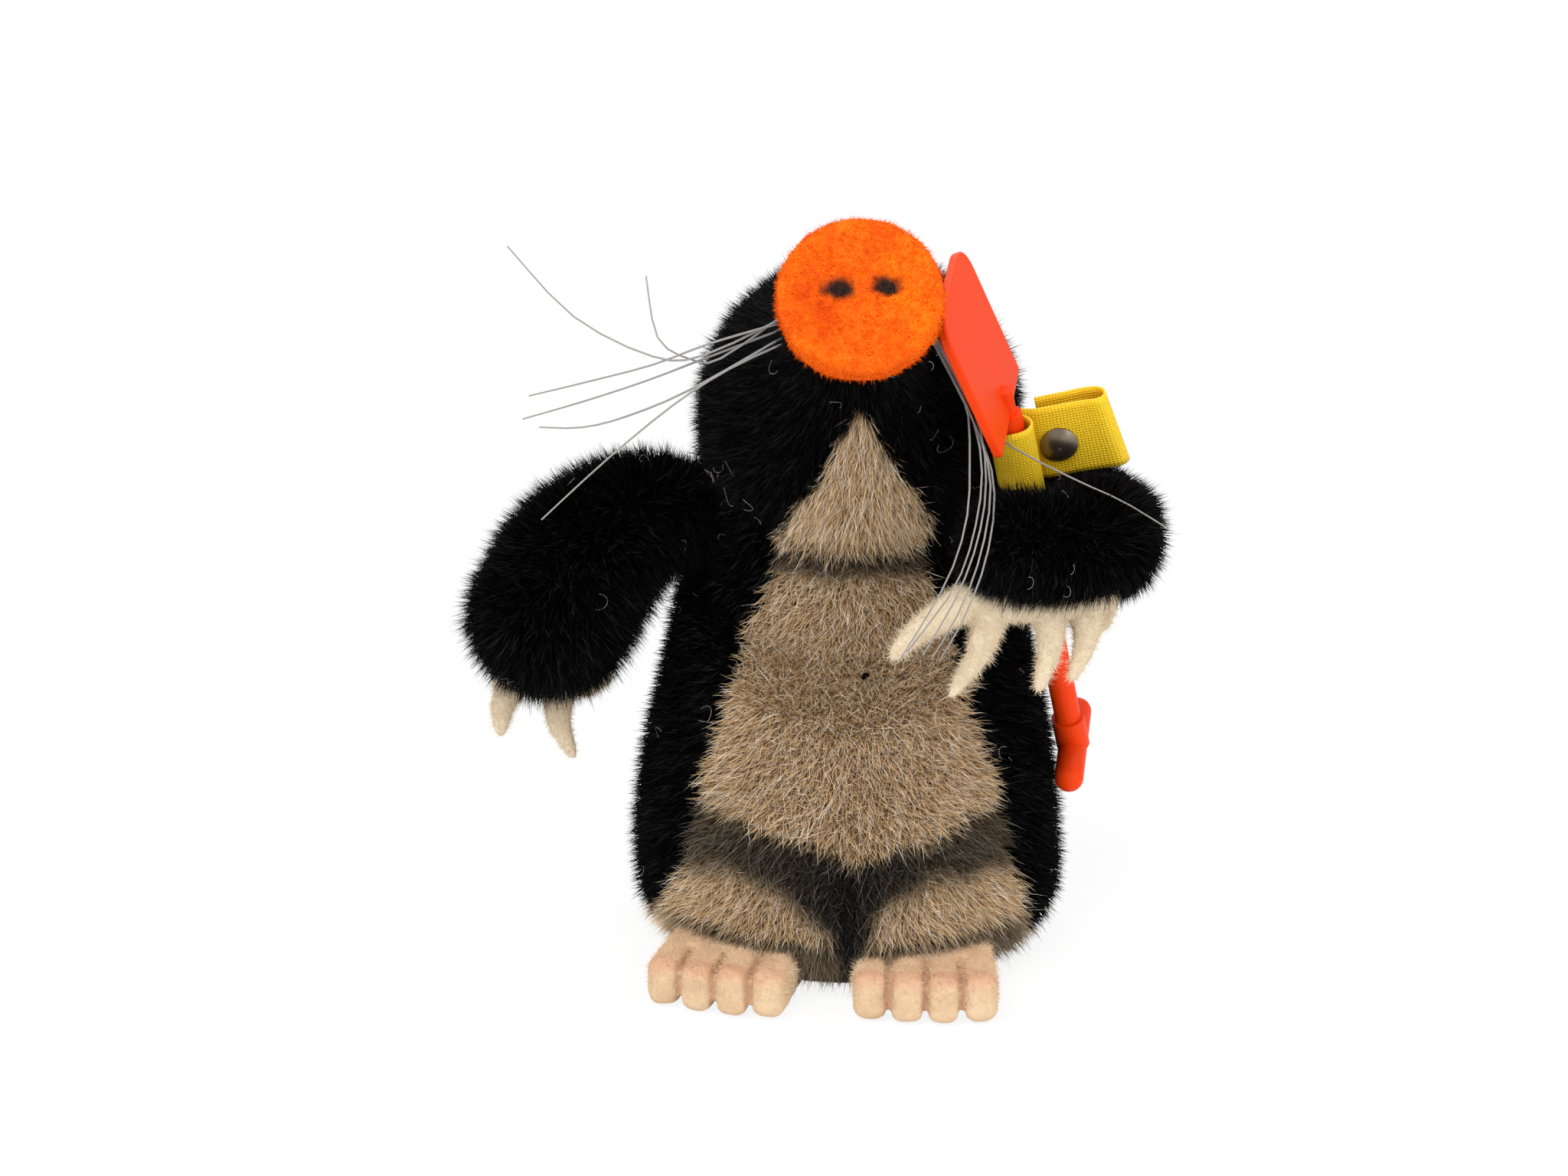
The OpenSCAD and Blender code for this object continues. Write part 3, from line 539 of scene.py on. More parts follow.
def turned(axis, degrees):
    """Rotation matrix about X, Y or Z."""
    c, s = math.cos(math.radians(degrees)), math.sin(math.radians(degrees))
    return np.array({"X": [[1, 0, 0], [0, c, -s], [0, s, c]],
                     "Y": [[c, 0, s], [0, 1, 0], [-s, 0, c]],
                     "Z": [[c, -s, 0], [s, c, 0], [0, 0, 1]]}[axis])


SHOVEL_TURN = turned("Z", -121.2) @ turned("Y", 24.3) @ turned("Z", 19.7)
SHAFT_AXIS = SHOVEL_TURN[:, 2]


def spline(points, u):
    """Point on a smooth curve through the points, at each fraction u."""
    p = np.asarray(points, float)
    n = len(p) - 1
    i = np.minimum(np.floor(u * n).astype(int), n - 1)
    w = u * n - i
    if p.ndim > 1:
        w = w[:, None]
    a, b, c, d = p[np.maximum(i - 1, 0)], p[i], p[i + 1], p[np.minimum(i + 2, n)]
    return 0.5 * (2 * b + (c - a) * w + (2 * a - 5 * b + 4 * c - d) * w ** 2
                  + (3 * b - a - 3 * c + d) * w ** 3)


plastic, tree, shader = new_material("red-orange plastic", 0.42, 0.09)
shader.inputs["Subsurface Weight"].default_value = 0.06
shader.inputs["Subsurface Scale"].default_value = 0.001
shader.inputs["Subsurface Radius"].default_value = (1.0, 0.25, 0.1)
place = add(tree, "ShaderNodeTexCoord").outputs["Object"]
tone = mixed_colour(tree, clouds(tree, place, 120.0, 4.0), (0.82, 0.041, 0.002), (0.75, 0.054, 0.004))
surface(tree, shader, tone, clouds(tree, place, 500.0, 3.0), 0.15, 0.0001)

BLADE_W, BLADE_L, BLADE_T, BLADE_ROUND, BLADE_CUT, BLADE_TILT = 20.4, 20.0, 1.2, 4.0, 0.35, 12
SHAFT_L, HEEL_UP = 55.4, 17
HEEL = CROOK + SHAFT_AXIS * HEEL_UP
half, top = BLADE_W / 2, BLADE_L - BLADE_ROUND
quarter = np.radians(np.linspace(0, 90, 9))
corner = BLADE_ROUND * np.column_stack([np.cos(quarter), np.sin(quarter)])
outline = np.vstack([[(-half, BLADE_CUT), (-half + BLADE_CUT, 0)],
                     [(half - BLADE_CUT, 0), (half, BLADE_CUT)],
                     corner + (half - BLADE_ROUND, top),
                     corner[::-1] * (-1, 1) + (BLADE_ROUND - half, top)])
tilt = turned("X", BLADE_TILT) @ turned("X", 90)
rows = []
for inset, depth in ((0.28, -0.5), (0.08, -0.43), (0, -0.3), (0, 0.3), (0.08, 0.43), (0.28, 0.5)):
    middle = np.array([0, BLADE_L / 2])
    ring = middle + (outline - middle) * (1 - inset / np.array([half, BLADE_L / 2]))
    level = np.column_stack([ring, np.full(len(ring), depth * BLADE_T)])
    rows.append(level @ tilt.T @ SHOVEL_TURN.T + HEEL)
blade = mesh_object("blade_face", *capped(np.array(rows)), [plastic], False)
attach(blade, "shovel")
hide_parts("shovel_blade")
blade_points = np.array([HEEL + SHOVEL_TURN @ tilt @ np.array([x, y, 0.0])
                         for x in np.linspace(-half, half, 15)
                         for y in np.linspace(0, BLADE_L, 15)])
shaft_line = np.array([HEEL - SHAFT_AXIS * s for s in np.linspace(-6, SHAFT_L, 80)])

# ---- Ribbon tag ----
# A plain yellow woven ribbon, stiff with size. It passes round the shaft in an
# S, runs out to the side, folds back and is riveted through both layers.
RIBBON_W, RIBBON_T, TAG_DROP, RIBBON_SLANT = 10.6, 0.3, 6.9, 0.16
TAG_TURN = SHOVEL_TURN @ turned("Z", 101)
TAG_C = HEEL - SHAFT_AXIS * TAG_DROP
RIBBON_LINE = [(-2.35, 1.5), (-2.75, -0.4), (-1.9, -2.0), (0.1, -2.6), (2.0, -2.1), (2.75, -0.5),
               (2.1, 1.1), (0.8, 2.3), (0.2, 2.95), (1.0, 3.25), (2.3, 2.8), (3.6, 2.36), (5.6, 2.28),
               (8, 2.28), (10, 2.2), (12.1, 2.0), (13.1, 2.7), (13.2, 3.9), (12.2, 4.9), (10, 5.2),
               (7.5, 5.12), (5.6, 5.12), (3.6, 5.05)]
ribbon, tree, shader = new_material("yellow woven ribbon", 0.6, 0.3)
uv = add(tree, "ShaderNodeUVMap", uv_map="weave").outputs[0]
threads = []
for direction, scale in (("X", 0.72), ("Y", 0.85)):
    wave = add(tree, "ShaderNodeTexWave",
               {"Vector": uv, "Scale": scale, "Distortion": 0.8, "Detail": 1.0},
               wave_type="BANDS", bands_direction=direction)
    threads.append(wave.outputs["Fac"])
cloth = out(add(tree, "ShaderNodeMath", {0: threads[0], 1: threads[1]}, operation="MULTIPLY"))
tone = mixed_colour(tree, cloth, (0.74, 0.46, 0.008), (1.0, 0.74, 0.02))
surface(tree, shader, tone, cloth, 0.8, 0.00012)

steps, bands = 150, 14
line = spline(np.array(RIBBON_LINE), np.linspace(0, 1, steps))
run = np.concatenate([[0], np.cumsum(np.linalg.norm(np.diff(line, axis=0), axis=1))])
height = np.linspace(-RIBBON_W / 2, RIBBON_W / 2, bands)
rows = []
for x, y in line:
    slanted = x - height * (smooth(7, 14, x) * RIBBON_SLANT)
    rows.append(np.column_stack([slanted, np.full(bands, y), height]) @ TAG_TURN.T + TAG_C)
ribbon_points = np.array(rows).reshape(-1, 3)
faces = [(k * bands + b, (k + 1) * bands + b, (k + 1) * bands + b + 1, k * bands + b + 1)
         for k in range(steps - 1) for b in range(bands - 1)]
tag = mesh_object("ribbon", ribbon_points, faces, [ribbon])
weave = tag.data.uv_layers.new(name="weave")
for loop in tag.data.loops:
    k, b = divmod(loop.vertex_index, bands)
    weave.data[loop.index].uv = (run[k], b / (bands - 1) * RIBBON_W)
layer = tag.modifiers.new("cloth", "SOLIDIFY")
layer.thickness = RIBBON_T * MM
layer.offset = 0
finished(tag)
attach(tag, "left_arm")
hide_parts("tag_ribbon")

# ---- Head ----
# A ball of the same black plush that runs out into a snout, on a card disc that
# turns on the neck pin, with a grey-tan wedge let in under the chin.
HEAD_R, SNOUT_R, SNOUT_L, SNOUT_CURVE = 19.8, 7.6, 38.0, 2.4
SNOUT_PITCH = math.radians(31)
SNOUT_AXIS = np.array([0, -math.cos(SNOUT_PITCH), math.sin(SNOUT_PITCH)])
# The chin wedge's edges, as half widths at distances along the snout.
CHIN_LEFT = [(-20, 7.6), (-8, 7.8), (0, 8.0), (4, 8.3), (9.5, 8.0), (12.5, 6.4), (16, 4.4), (22, 2.3),
             (27, 0.7), (28.5, 0)]
CHIN_RIGHT = [(-20, 8.2), (-8, 8.4), (0, 8.5), (4, 8.6), (9.5, 8.3), (12.5, 7.0), (16, 5.1), (22, 2.8),
              (27, 0.8), (28.5, 0)]


def in_head(p):
    t = (p - HEAD_C) @ SNOUT_AXIS
    side = np.linalg.norm(p - HEAD_C - t[..., None] * SNOUT_AXIS, axis=-1)
    fall = np.cos(np.pi / 2 * np.clip(t, 0, SNOUT_L) / SNOUT_L) ** SNOUT_CURVE
    taper = SNOUT_R + (HEAD_R - SNOUT_R) * fall
    ball = np.sqrt(np.maximum(HEAD_R ** 2 - np.minimum(t, 0) ** 2, 0))
    return (side <= np.where(t < 0, ball, taper)) & ((p - NECK_C) @ NECK_AXIS > 0.1)


HEAD_ROWS, HEAD_TURN, BEND_AT = 72, 112, 0.45
snout_lean = math.pi / 2 - SNOUT_PITCH
base, top = NECK_C + NECK_AXIS * 0.2, HEAD_C + SNOUT_AXIS * 8
head_centres, head_angles = [], []
for s in np.linspace(0, 1, HEAD_ROWS):
    turn, far = min(s / BEND_AT, 1), max((s - BEND_AT) / (1 - BEND_AT), 0)
    head_centres.append(base + (top - base) * turn + SNOUT_AXIS * (SNOUT_L - 8.1) * far)
    head_angles.append(NECK_TILT + (snout_lean - NECK_TILT) * turn)
head_grid = wrapped(in_head, head_centres, head_angles, HEAD_TURN)
swell = rough(head_grid, 9, 4)[..., None] * 0.4 * unit(head_grid - np.array(head_centres)[:, None])
head_grid = head_grid + swell
middles = face_middles(head_grid)
t = (middles - HEAD_C) @ SNOUT_AXIS
off = middles[..., 0] - HEAD_C[0]
chin_edge = np.where(off < 0, np.interp(t, *zip(*CHIN_LEFT)), np.interp(t, *zip(*CHIN_RIGHT)))
in_chin = ((np.abs(off) < chin_edge + rough(middles, 4, 6) * 0.5)
           & (middles[..., 2] < (HEAD_C + t[..., None] * SNOUT_AXIS)[..., 2]))
eye_points = np.array([np.mean(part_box(name), axis=0) / MM for name in ("left_eye", "right_eye")])


def backwards(p):
    """Hair on the head is combed from the nose back towards the neck."""
    return -SNOUT_AXIS + np.array([0, 0, -0.25])


for name, chosen, cloth, slot in (("chin", in_chin, tan_cloth, "tan_plush"),
                                  ("head", ~in_chin, black_cloth, "black_plush")):
    whole = slot == "black_plush"
    points, faces = used_only(*capped(head_grid, chosen, whole))
    cover = mesh_object(f"{name}_cover", points, faces, [cloth])
    comb(cover, backwards, 0.25, 0.6, 5, np.vstack([blade_points, eye_points]), 1.4, 3.4)
    paint(cover, "spray", np.zeros(len(points)))
    if whole:
        for k in (1, 2):
            grow(f"head_pile_{k}", cover, black_hair, "head", slot, Density=9.5e6, Length=0.0025,
                 Seed=20 + k)
    else:
        grow("chin_pile", cover, tan_hair, "head", slot, Density=18e6, Length=0.0028, Lean=0.25,
             Stray=0.5, Seed=25)
        # The glint layer: sparse pale hairs that stand for a painted highlight on the tan chin.
        grow("chin_glints", cover, glint_hair, "head", slot, Density=2e6, Length=0.0032,
             Width=0.00013, Lean=0.3, Stray=0.8, Bends=2, Seed=26)
    thickened(cover, "head", f"{name}_plush")

# ---- Nose ----
# A thick disc of orange wool felt with a felt band round it, glued to the end
# of the snout. Two soft dark spots on it are the nostrils.
NOSE_R, NOSE_TURN, NOSE_DROP, NOSE_WOBBLE, NOSE_FRONT = 9.7, 96, 0.5, 0.16, 3.8
NOSE_UP = np.array([0, math.sin(SNOUT_PITCH), math.cos(SNOUT_PITCH)])
NOSE_C = HEAD_C + SNOUT_AXIS * SNOUT_L - NOSE_UP * NOSE_DROP
NOSE_RIM = [(-0.5, 0.05), (-0.1, 0.4), (0, 1.2), (-0.04, 2.4), (0.05, 3.1), (-0.12, 3.6), (-0.5, 3.92),
            (-1.1, 4.05), (-2.2, 4.1)]
NOSTRILS = ((-2.4, 0.55, 2.3, 1.6), (3.1, 0.85, 2.15, 1.5))
nose_profile = [(2, 0.05)] + [(NOSE_R + more, h) for more, h in NOSE_RIM]
nose_profile += [(7, 4.12), (6, 4.13), (5, 4.14), (4, 4.15), (3, 4.15), (2, 4.15), (1, 4.15)]
orange_felt = woven_material("orange felt", (0.91, 0.165, 0.002), (0.56, 0.050, 0.001), 560, 0.0004,
                             0.95, spray=(0.02, 0.010, 0.008))
# Painted shade and light: the wool is darker at the root and lighter at the tip, and some fibres take a
# painted highlight.
orange_fuzz = fibre_material("orange wool", (0.66, 0.065, 0.001), (0.91, 0.150, 0.001),
                             (0.94, 0.190, 0.002), (1.0, 0.28, 0.02), 0.95, 0.02, (0.02, 0.010, 0.008))
spokes = spokes_of(NOSE_TURN, ACROSS, np.cross(SNOUT_AXIS, ACROSS))
grid = np.array([NOSE_C + SNOUT_AXIS * h + spokes * r for r, h in nose_profile])
grid = grid + rough(grid, 2.6, 2)[..., None] * NOSE_WOBBLE * spokes[None]
nose = mesh_object("nose", *capped(grid), [orange_felt])
grain = nose.modifiers.new("finer", "SUBSURF")
grain.levels = grain.render_levels = 1
finished(nose)
at = places_of(nose)
face_at = at - NOSE_C
across, up, height = face_at[:, 0], face_at @ NOSE_UP, face_at @ SNOUT_AXIS
spots = np.zeros(len(at))
for x, y, wide, high in NOSTRILS:
    spots = np.maximum(spots, smooth(1.15, 0.45, np.hypot((across - x) / wide, (up - y) / high)
                                     + rough(at, 0.9, 7) * 0.25))
paint(nose, "spray", np.where(height > NOSE_FRONT, spots, 0))
dent = np.where(height > NOSE_FRONT, spots * 0.45, 0)
move_to(nose, at - SNOUT_AXIS * dent[:, None])
nose.data.update()
comb(nose, lambda p: np.array([0.0, 0.0, -1.0]), 0.2, 2.2, 3)
grow("nose_fuzz", nose, orange_fuzz, "head", "orange_felt", Density=2.2e7, Length=0.00035,
     Width=0.00009, Lean=0.9, Stray=0.9, Seed=31, **{"Lock Size": 0.0009, "Lock Pull": 0.5})
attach(nose, "head")
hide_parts("nose_face", "nose_band")

# ---- Arms ----
# Tubes of black plush over wood wool, each on a steel wire that runs from the
# shoulder to the paw, so that the arm can be bent and turned.
PALM_TOP, PALM_FRONT, GROOVE_R = 57.0, -26, SHAFT_R + 0.35
# Each arm's middle line, and its radius along it.
LEFT_ARM = LEFT_SHOULDER + np.array([[0, 0, 0], [8.5, -3, 0.4], [11.9, -10.5, 0.7], [11.3, -19, 0.9],
                                     [7.5, -25.5, 1.5], [0.8, -27, 2.1]])
LEFT_ARM_R = [5, 7.2, 7.4, 6.8, 6.2, 6]
RIGHT_ARM = RIGHT_SHOULDER + np.array([[0, 0, 0], [-8.5, -3.5, 0.5], [-15.5, -6.5, -4],
                                       [-20, -9, -11.5]])
RIGHT_ARM_R = [5, 7.2, 9, 9.3]


def tube_grid(at, radii, count):
    """Rings square to the line through at, carried along without twist."""
    way = unit(np.gradient(at, axis=0))
    side = unit(np.cross(way[0], (0.3, 0.2, 1.0)))
    rows = []
    for centre, ahead, radius in zip(at, way, radii):
        side = unit(side - ahead * (side @ ahead))
        rows.append(centre + radius * spokes_of(count, side, np.cross(ahead, side)))
    return np.array(rows)


def limb_grid(path, radii, rows, count):
    """A stuffed limb: a smooth tube through path, with round ends."""
    u = np.linspace(0, 1, rows)
    at, r = spline(path, u), spline(radii, u)
    start, end = unit(at[0] - at[1]), unit(at[-1] - at[-2])
    caps = np.radians([82, 66, 50, 34, 17])
    at = np.vstack([at[0] + start * r[0] * np.sin(caps)[:, None], at,
                    at[-1] + end * r[-1] * np.sin(caps[::-1])[:, None]])
    r = np.concatenate([r[0] * np.cos(caps), r, r[-1] * np.cos(caps[::-1])])
    return tube_grid(at, r, count)


ARM_TURN, ARM_ROWS, ARM_STEPS = 44, 46, 30
for name, path, radii, density, length, fringe, seed in (
        ("left_arm", LEFT_ARM, LEFT_ARM_R, 21e6, 0.0023, 0.7, 41),
        ("right_arm", RIGHT_ARM, RIGHT_ARM_R, 22e6, 0.0028, 0.15, 42)):
    grid = limb_grid(path, radii, ARM_ROWS, ARM_TURN)
    grid = grid + rough(grid, 6, seed)[..., None] * 0.35 * unit(grid - grid.mean(1, keepdims=True))
    if name == "left_arm":
        # The shaft presses a groove into the crook, and the palm a flat.
        off = grid - CROOK
        off = off - (off @ SHAFT_AXIS)[..., None] * SHAFT_AXIS
        near = np.linalg.norm(off, axis=-1, keepdims=True)
        grid = grid + off / np.maximum(near, 1e-6) * np.maximum(GROOVE_R - near, 0)
        lift = (grid[..., 2] < PALM_TOP) & (grid[..., 1] < PALM_FRONT)
        grid[..., 2] = np.where(lift, PALM_TOP, grid[..., 2])
        # The ribbon stands in the crook and presses the plush down under it.
        local = (grid - TAG_C) @ TAG_TURN
        beside = smooth(-5.5, -3.4, local[..., 0]) * smooth(16, 13.5, local[..., 0])
        beside = beside * smooth(-5.5, -3.5, local[..., 1]) * smooth(6.5, 4.8, local[..., 1])
        over = np.maximum(local[..., 2] + RIBBON_W / 2 - 0.8, 0)
        grid = grid - (over * beside)[..., None] * SHAFT_AXIS
    cover = mesh_object(f"{name}_cover", *capped(grid), [black_cloth])
    arm_line = spline(path, np.linspace(0, 1, ARM_STEPS))

    def along_arm(p, line=arm_line):
        k = int(np.argmin(np.sum((line - p) ** 2, 1)))
        ahead = line[min(k + 1, ARM_STEPS - 1)] - line[max(k - 1, 0)]
        return unit(ahead) * 0.6 + np.array([0, 0, -1.0])

    hard = np.vstack([shaft_line, ribbon_points]) if name == "left_arm" else None
    comb(cover, along_arm, 0.2, 0.5, seed, hard, 1.6, 5.0, fringe)
    paint(cover, "spray", np.zeros(len(cover.data.vertices)))
    grow(f"{name}_pile", cover, black_hair, name, "black_plush", Density=density, Length=length,
         Seed=seed, **{"Lock Size": 0.0018, "Lock Pull": 0.4})
    thickened(cover, name, f"{name}_plush")

# ---- Hands ----
# Palms and claws cut from off-white wool felt, rolled to points and sewn
# under the ends of the arms.
CLAW_R, CLAW_POINT_R, PALM_D, PALM_T, WEB_R = 2.6, 0.585, 7.0, 2.0, 1.9
PALM_TURN, CLAW_TURN, CLAW_ROWS = 28, 16, 14
LEFT_PALM = LEFT_SHOULDER + np.array([3.4, -26.5, -3.0])
RIGHT_PALM = RIGHT_SHOULDER + np.array([-21.5, -6.5, -19.3])
# Each claw: its root on the palm, the way to its tip, its sideways bulge and its drop.
LEFT_CLAWS = [(-8.2, -1, (-11, -4.5, -6), -1.5, 0), (-5.6, -1, (-6, -4, -11.3), 1.3, 0),
              (1.2, -1, (-1.8, -4, -11), 1.2, 0), (6, -1, (-2.2, -3.5, -10), 1.2, 0),
              (8.6, 0.6, (0.5, 0.5, -5.5), 0.3, 0)]
RIGHT_CLAWS = [(-3.8, -2, (-1, -3.5, -7.5), -0.5, 0.3), (2.6, -2, (3, -5, -8.5), -1.2, 0.5),
               (-1.5, 1.8, (-0.5, 6, -2.5), 0, 1.6), (2, 1.8, (0.5, 6.5, -2.5), 0, 1.6),
               (5, 1, (3.5, 4.5, -2), 0, 1.6)]
cream_felt = woven_material("off-white felt", (0.72, 0.61, 0.45), (0.58, 0.47, 0.32), 1400, 0.00035,
                            0.95)
# Painted shade and light: the wool is darker at the root and lighter at the tip, and some fibres take a
# painted highlight.
cream_fuzz = fibre_material("off-white wool", (0.64, 0.52, 0.36), (0.76, 0.65, 0.48),
                            (0.80, 0.71, 0.54), (0.9, 0.82, 0.68), 0.9, 0.08)


def gathered(grids):
    """The points and faces of several closed tubes together."""
    points, faces = [], []
    for grid in grids:
        p, f = capped(grid)
        faces += [tuple(i + len(points) for i in face) for face in f]
        points += list(p)
    return np.array(points), faces


def joined_felt(name, grids, voxel, material):
    """Closed shapes merged into one felt piece with soft edges."""
    made = mesh_object(name, *gathered(grids), [material])
    blend = made.modifiers.new("one piece", "REMESH")
    blend.mode = "VOXEL"
    blend.voxel_size = voxel * MM
    blend.use_smooth_shade = True
    ease = made.modifiers.new("soft edges", "SMOOTH")
    ease.factor = 0.6
    ease.iterations = 4
    return finished(made)


def fuzzy(felt, wool, body, node, **sizes):
    """Lets short wool stand up all over a felt piece, in its node's place."""
    grow(f"{node}_fuzz", felt, wool, body, "cream_felt", Width=0.00008, Stray=0.9, **sizes,
         **{"Lock Size": 0.0008, "Lock Pull": 0.3})
    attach(felt, body)
    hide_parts(node)


for name, palm, claws, wide, spin, body in (
        ("left_hand", LEFT_PALM, LEFT_CLAWS, 20, turned("Z", 10), "left_arm"),
        ("right_hand", RIGHT_PALM, RIGHT_CLAWS, 13, turned("Y", 6) @ turned("X", 14), "right_arm")):
    grids = []
    ring = np.linspace(0, 2 * np.pi, PALM_TURN, endpoint=False)
    oval = np.stack([np.cos(ring) * wide / 2, np.sin(ring) * PALM_D / 2], 1)
    oval = np.sign(oval) * np.abs(oval) ** 0.86 * np.array([(wide / 2) ** 0.14, (PALM_D / 2) ** 0.14])
    grids.append(np.array([np.column_stack([oval * k, np.full(PALM_TURN, h)]) for k, h in
                           ((0.94, -PALM_T), (1.0, -PALM_T + 0.4), (1.0, -0.35), (0.95, -0.02))]))
    for x, y, tip, bulge, drop in claws:
        root = np.array([x, y, -PALM_T / 2 - drop])
        tip = np.array(tip, float)
        fall = np.linspace(0, 1, CLAW_ROWS)
        line = spline([root, root + tip * 0.5 + [bulge, 0, 0], root + tip], fall)
        r = CLAW_POINT_R + (CLAW_R - 0.1 - CLAW_POINT_R) * (1 - fall ** 1.1)
        r[-3:] = r[-3:] * [0.97, 0.85, 0.5]
        grids.append(tube_grid(line, r, CLAW_TURN))
    if name == "left_hand":
        # The felt runs on from claw to claw in front of the palm.
        web = spline([(-7.6, -1.6, -1.7), (0, -2.2, -1.9), (8.2, -1.2, -1.7)], np.linspace(0, 1, 20))
        grids.append(tube_grid(web, np.full(20, WEB_R), CLAW_TURN))
    grids = [grid @ spin.T + palm for grid in grids]
    hand = joined_felt(name + "_felt", grids, 0.42, cream_felt)
    at = places_of(hand)
    puff = rough(at, 1.6, 5)[:, None] * 0.16 * normals_of(hand)
    move_to(hand, at + puff)
    comb(hand, down, 0.1, 2.0, 6)
    fuzzy(hand, cream_fuzz, body, name, Density=16e6, Length=0.0006, Lean=0.5, Seed=51)

# ---- Feet ----
# Each foot is a stuffed block of thick pale felt. Three stitched grooves divide
# its front into four toes, and their upper edges are sprayed pink.
FOOT_W, FOOT_L, FOOT_H, TOE_L, GROOVE, TOE_REACH = 18.5, 22.0, 6.6, 8.0, 0.35, 36.2
SETBACKS = (0.9, 0.1, 0.0, 0.6)
foot_felt = woven_material("pale foot felt", (0.72, 0.54, 0.35), (0.62, 0.43, 0.26), 1300, 0.00035,
                           0.95, spray=(0.56, 0.26, 0.16))
# Painted shade and light: the wool is darker at the root and lighter at the tip, and some fibres take a
# painted highlight.
foot_fuzz = fibre_material("pale foot wool", (0.66, 0.48, 0.30), (0.74, 0.56, 0.38), (0.77, 0.60, 0.43),
                           (0.86, 0.74, 0.58), 0.9, 0.08, (0.60, 0.29, 0.19))


def round_box(low, high, r, count=9):
    """A box with round edges as rings from the bottom to the top."""
    low, high = np.array(low, float), np.array(high, float)
    ring = []
    for cx, cy, start in ((high[0], high[1], 0), (low[0], high[1], 90), (low[0], low[1], 180),
                          (high[0], low[1], 270)):
        for k in range(count):
            a = math.radians(start + 90 * k / (count - 1))
            ring.append((cx, cy, math.cos(a), math.sin(a)))
    ring = np.array(ring)
    rows = []
    for k in range(count):
        a = math.radians(90 * k / (count - 1))
        rows.append((low[2] + r - r * math.cos(a), r * (1 - math.sin(a))))
    rows += [(high[2] - (h - low[2]), inset) for h, inset in rows[::-1]]
    grid = []
    for h, inset in rows:
        x = ring[:, 0] - np.sign(ring[:, 0] - (low[0] + high[0]) / 2) * r + ring[:, 2] * (r - inset)
        y = ring[:, 1] - np.sign(ring[:, 1] - (low[1] + high[1]) / 2) * r + ring[:, 3] * (r - inset)
        grid.append(np.column_stack([x, y, np.full(len(x), h)]))
    return np.array(grid)


toe_w = (FOOT_W - 3 * GROOVE) / 4
for name, place, spin, side in (
        ("left_foot", np.array([1 + FOOT_W / 2, -TOE_REACH, 0]), turned("Z", 0), 0),
        ("right_foot", np.array([-8.4, -TOE_REACH, 0]), turned("Z", -13), -FOOT_W / 2)):
    grids = []
    for k, setback in enumerate(SETBACKS):
        x = -FOOT_W / 2 + k * (toe_w + GROOVE)
        grids.append(round_box((x - 0.05, setback, 0),
                               (x + toe_w + 0.05, TOE_L + 2.5, FOOT_H - 0.1), 1.75))
    grids.append(round_box((-FOOT_W / 2 + 0.2, TOE_L - 0.6, 0),
                           (FOOT_W / 2 - 0.2, FOOT_L, FOOT_H - 0.2), 1.3))
    grids = [(grid + np.array([side, 0, 0])) @ spin.T + place for grid in grids]
    foot = joined_felt(name + "_felt", grids, 0.3, foot_felt)
    at = places_of(foot)
    local = (at - place) @ spin - np.array([side, 0, 0])
    groove = np.min([np.abs(local[:, 0] + FOOT_W / 2 - k * (toe_w + GROOVE) + GROOVE / 2)
                     for k in (1, 2, 3)], 0)
    inner = smooth(TOE_L + 1.5, TOE_L - 1, local[:, 1])
    puff = rough(at, 2.2, 9)[:, None] * 0.16 * normals_of(foot)
    puff = puff - normals_of(foot) * (smooth(0.7, 0.0, groove) * inner * 0.35)[:, None]
    at = at + puff
    at[:, 2] = np.maximum(at[:, 2], 0.02)
    move_to(foot, at)
    pink = smooth(2.6, 0.8, np.abs(local[:, 1] - 1.6)) * smooth(3.9, 6.2, local[:, 2]) * 0.55
    pink = np.maximum(pink, smooth(0.6, 0.1, groove) * inner * 0.45)
    pink = np.maximum(pink, smooth(5.0, 6.6, local[:, 2]) * 0.22) + rough(at, 1.7, 4) * 0.16
    paint(foot, "spray", np.clip(pink, 0, 1))
    comb(foot, down, 0.1, 2.0, 8)
    fuzzy(foot, foot_fuzz, "body", name, Density=10e6, Length=0.0005, Lean=0.6, Seed=61)

# ---- Finishes of the pieces that keep their turned or moulded shape ----
# The rivet is bronzed steel, the eyes are black beads, the whiskers clear
# nylon, and the parts inside are card, steel wire and wood wool.
def plain_material(name, colour, other, rough_at, metal=0.0, scale=300.0, coat=0.0):
    made, tree, shader = new_material(name, rough_at, 0.5)
    shader.inputs["Metallic"].default_value = metal
    shader.inputs["Coat Weight"].default_value = coat
    cloud = clouds(tree, add(tree, "ShaderNodeTexCoord").outputs["Object"], scale, 4.0)
    surface(tree, shader, mixed_colour(tree, cloud, colour, other), cloud, 0.2, 0.00005)
    return made


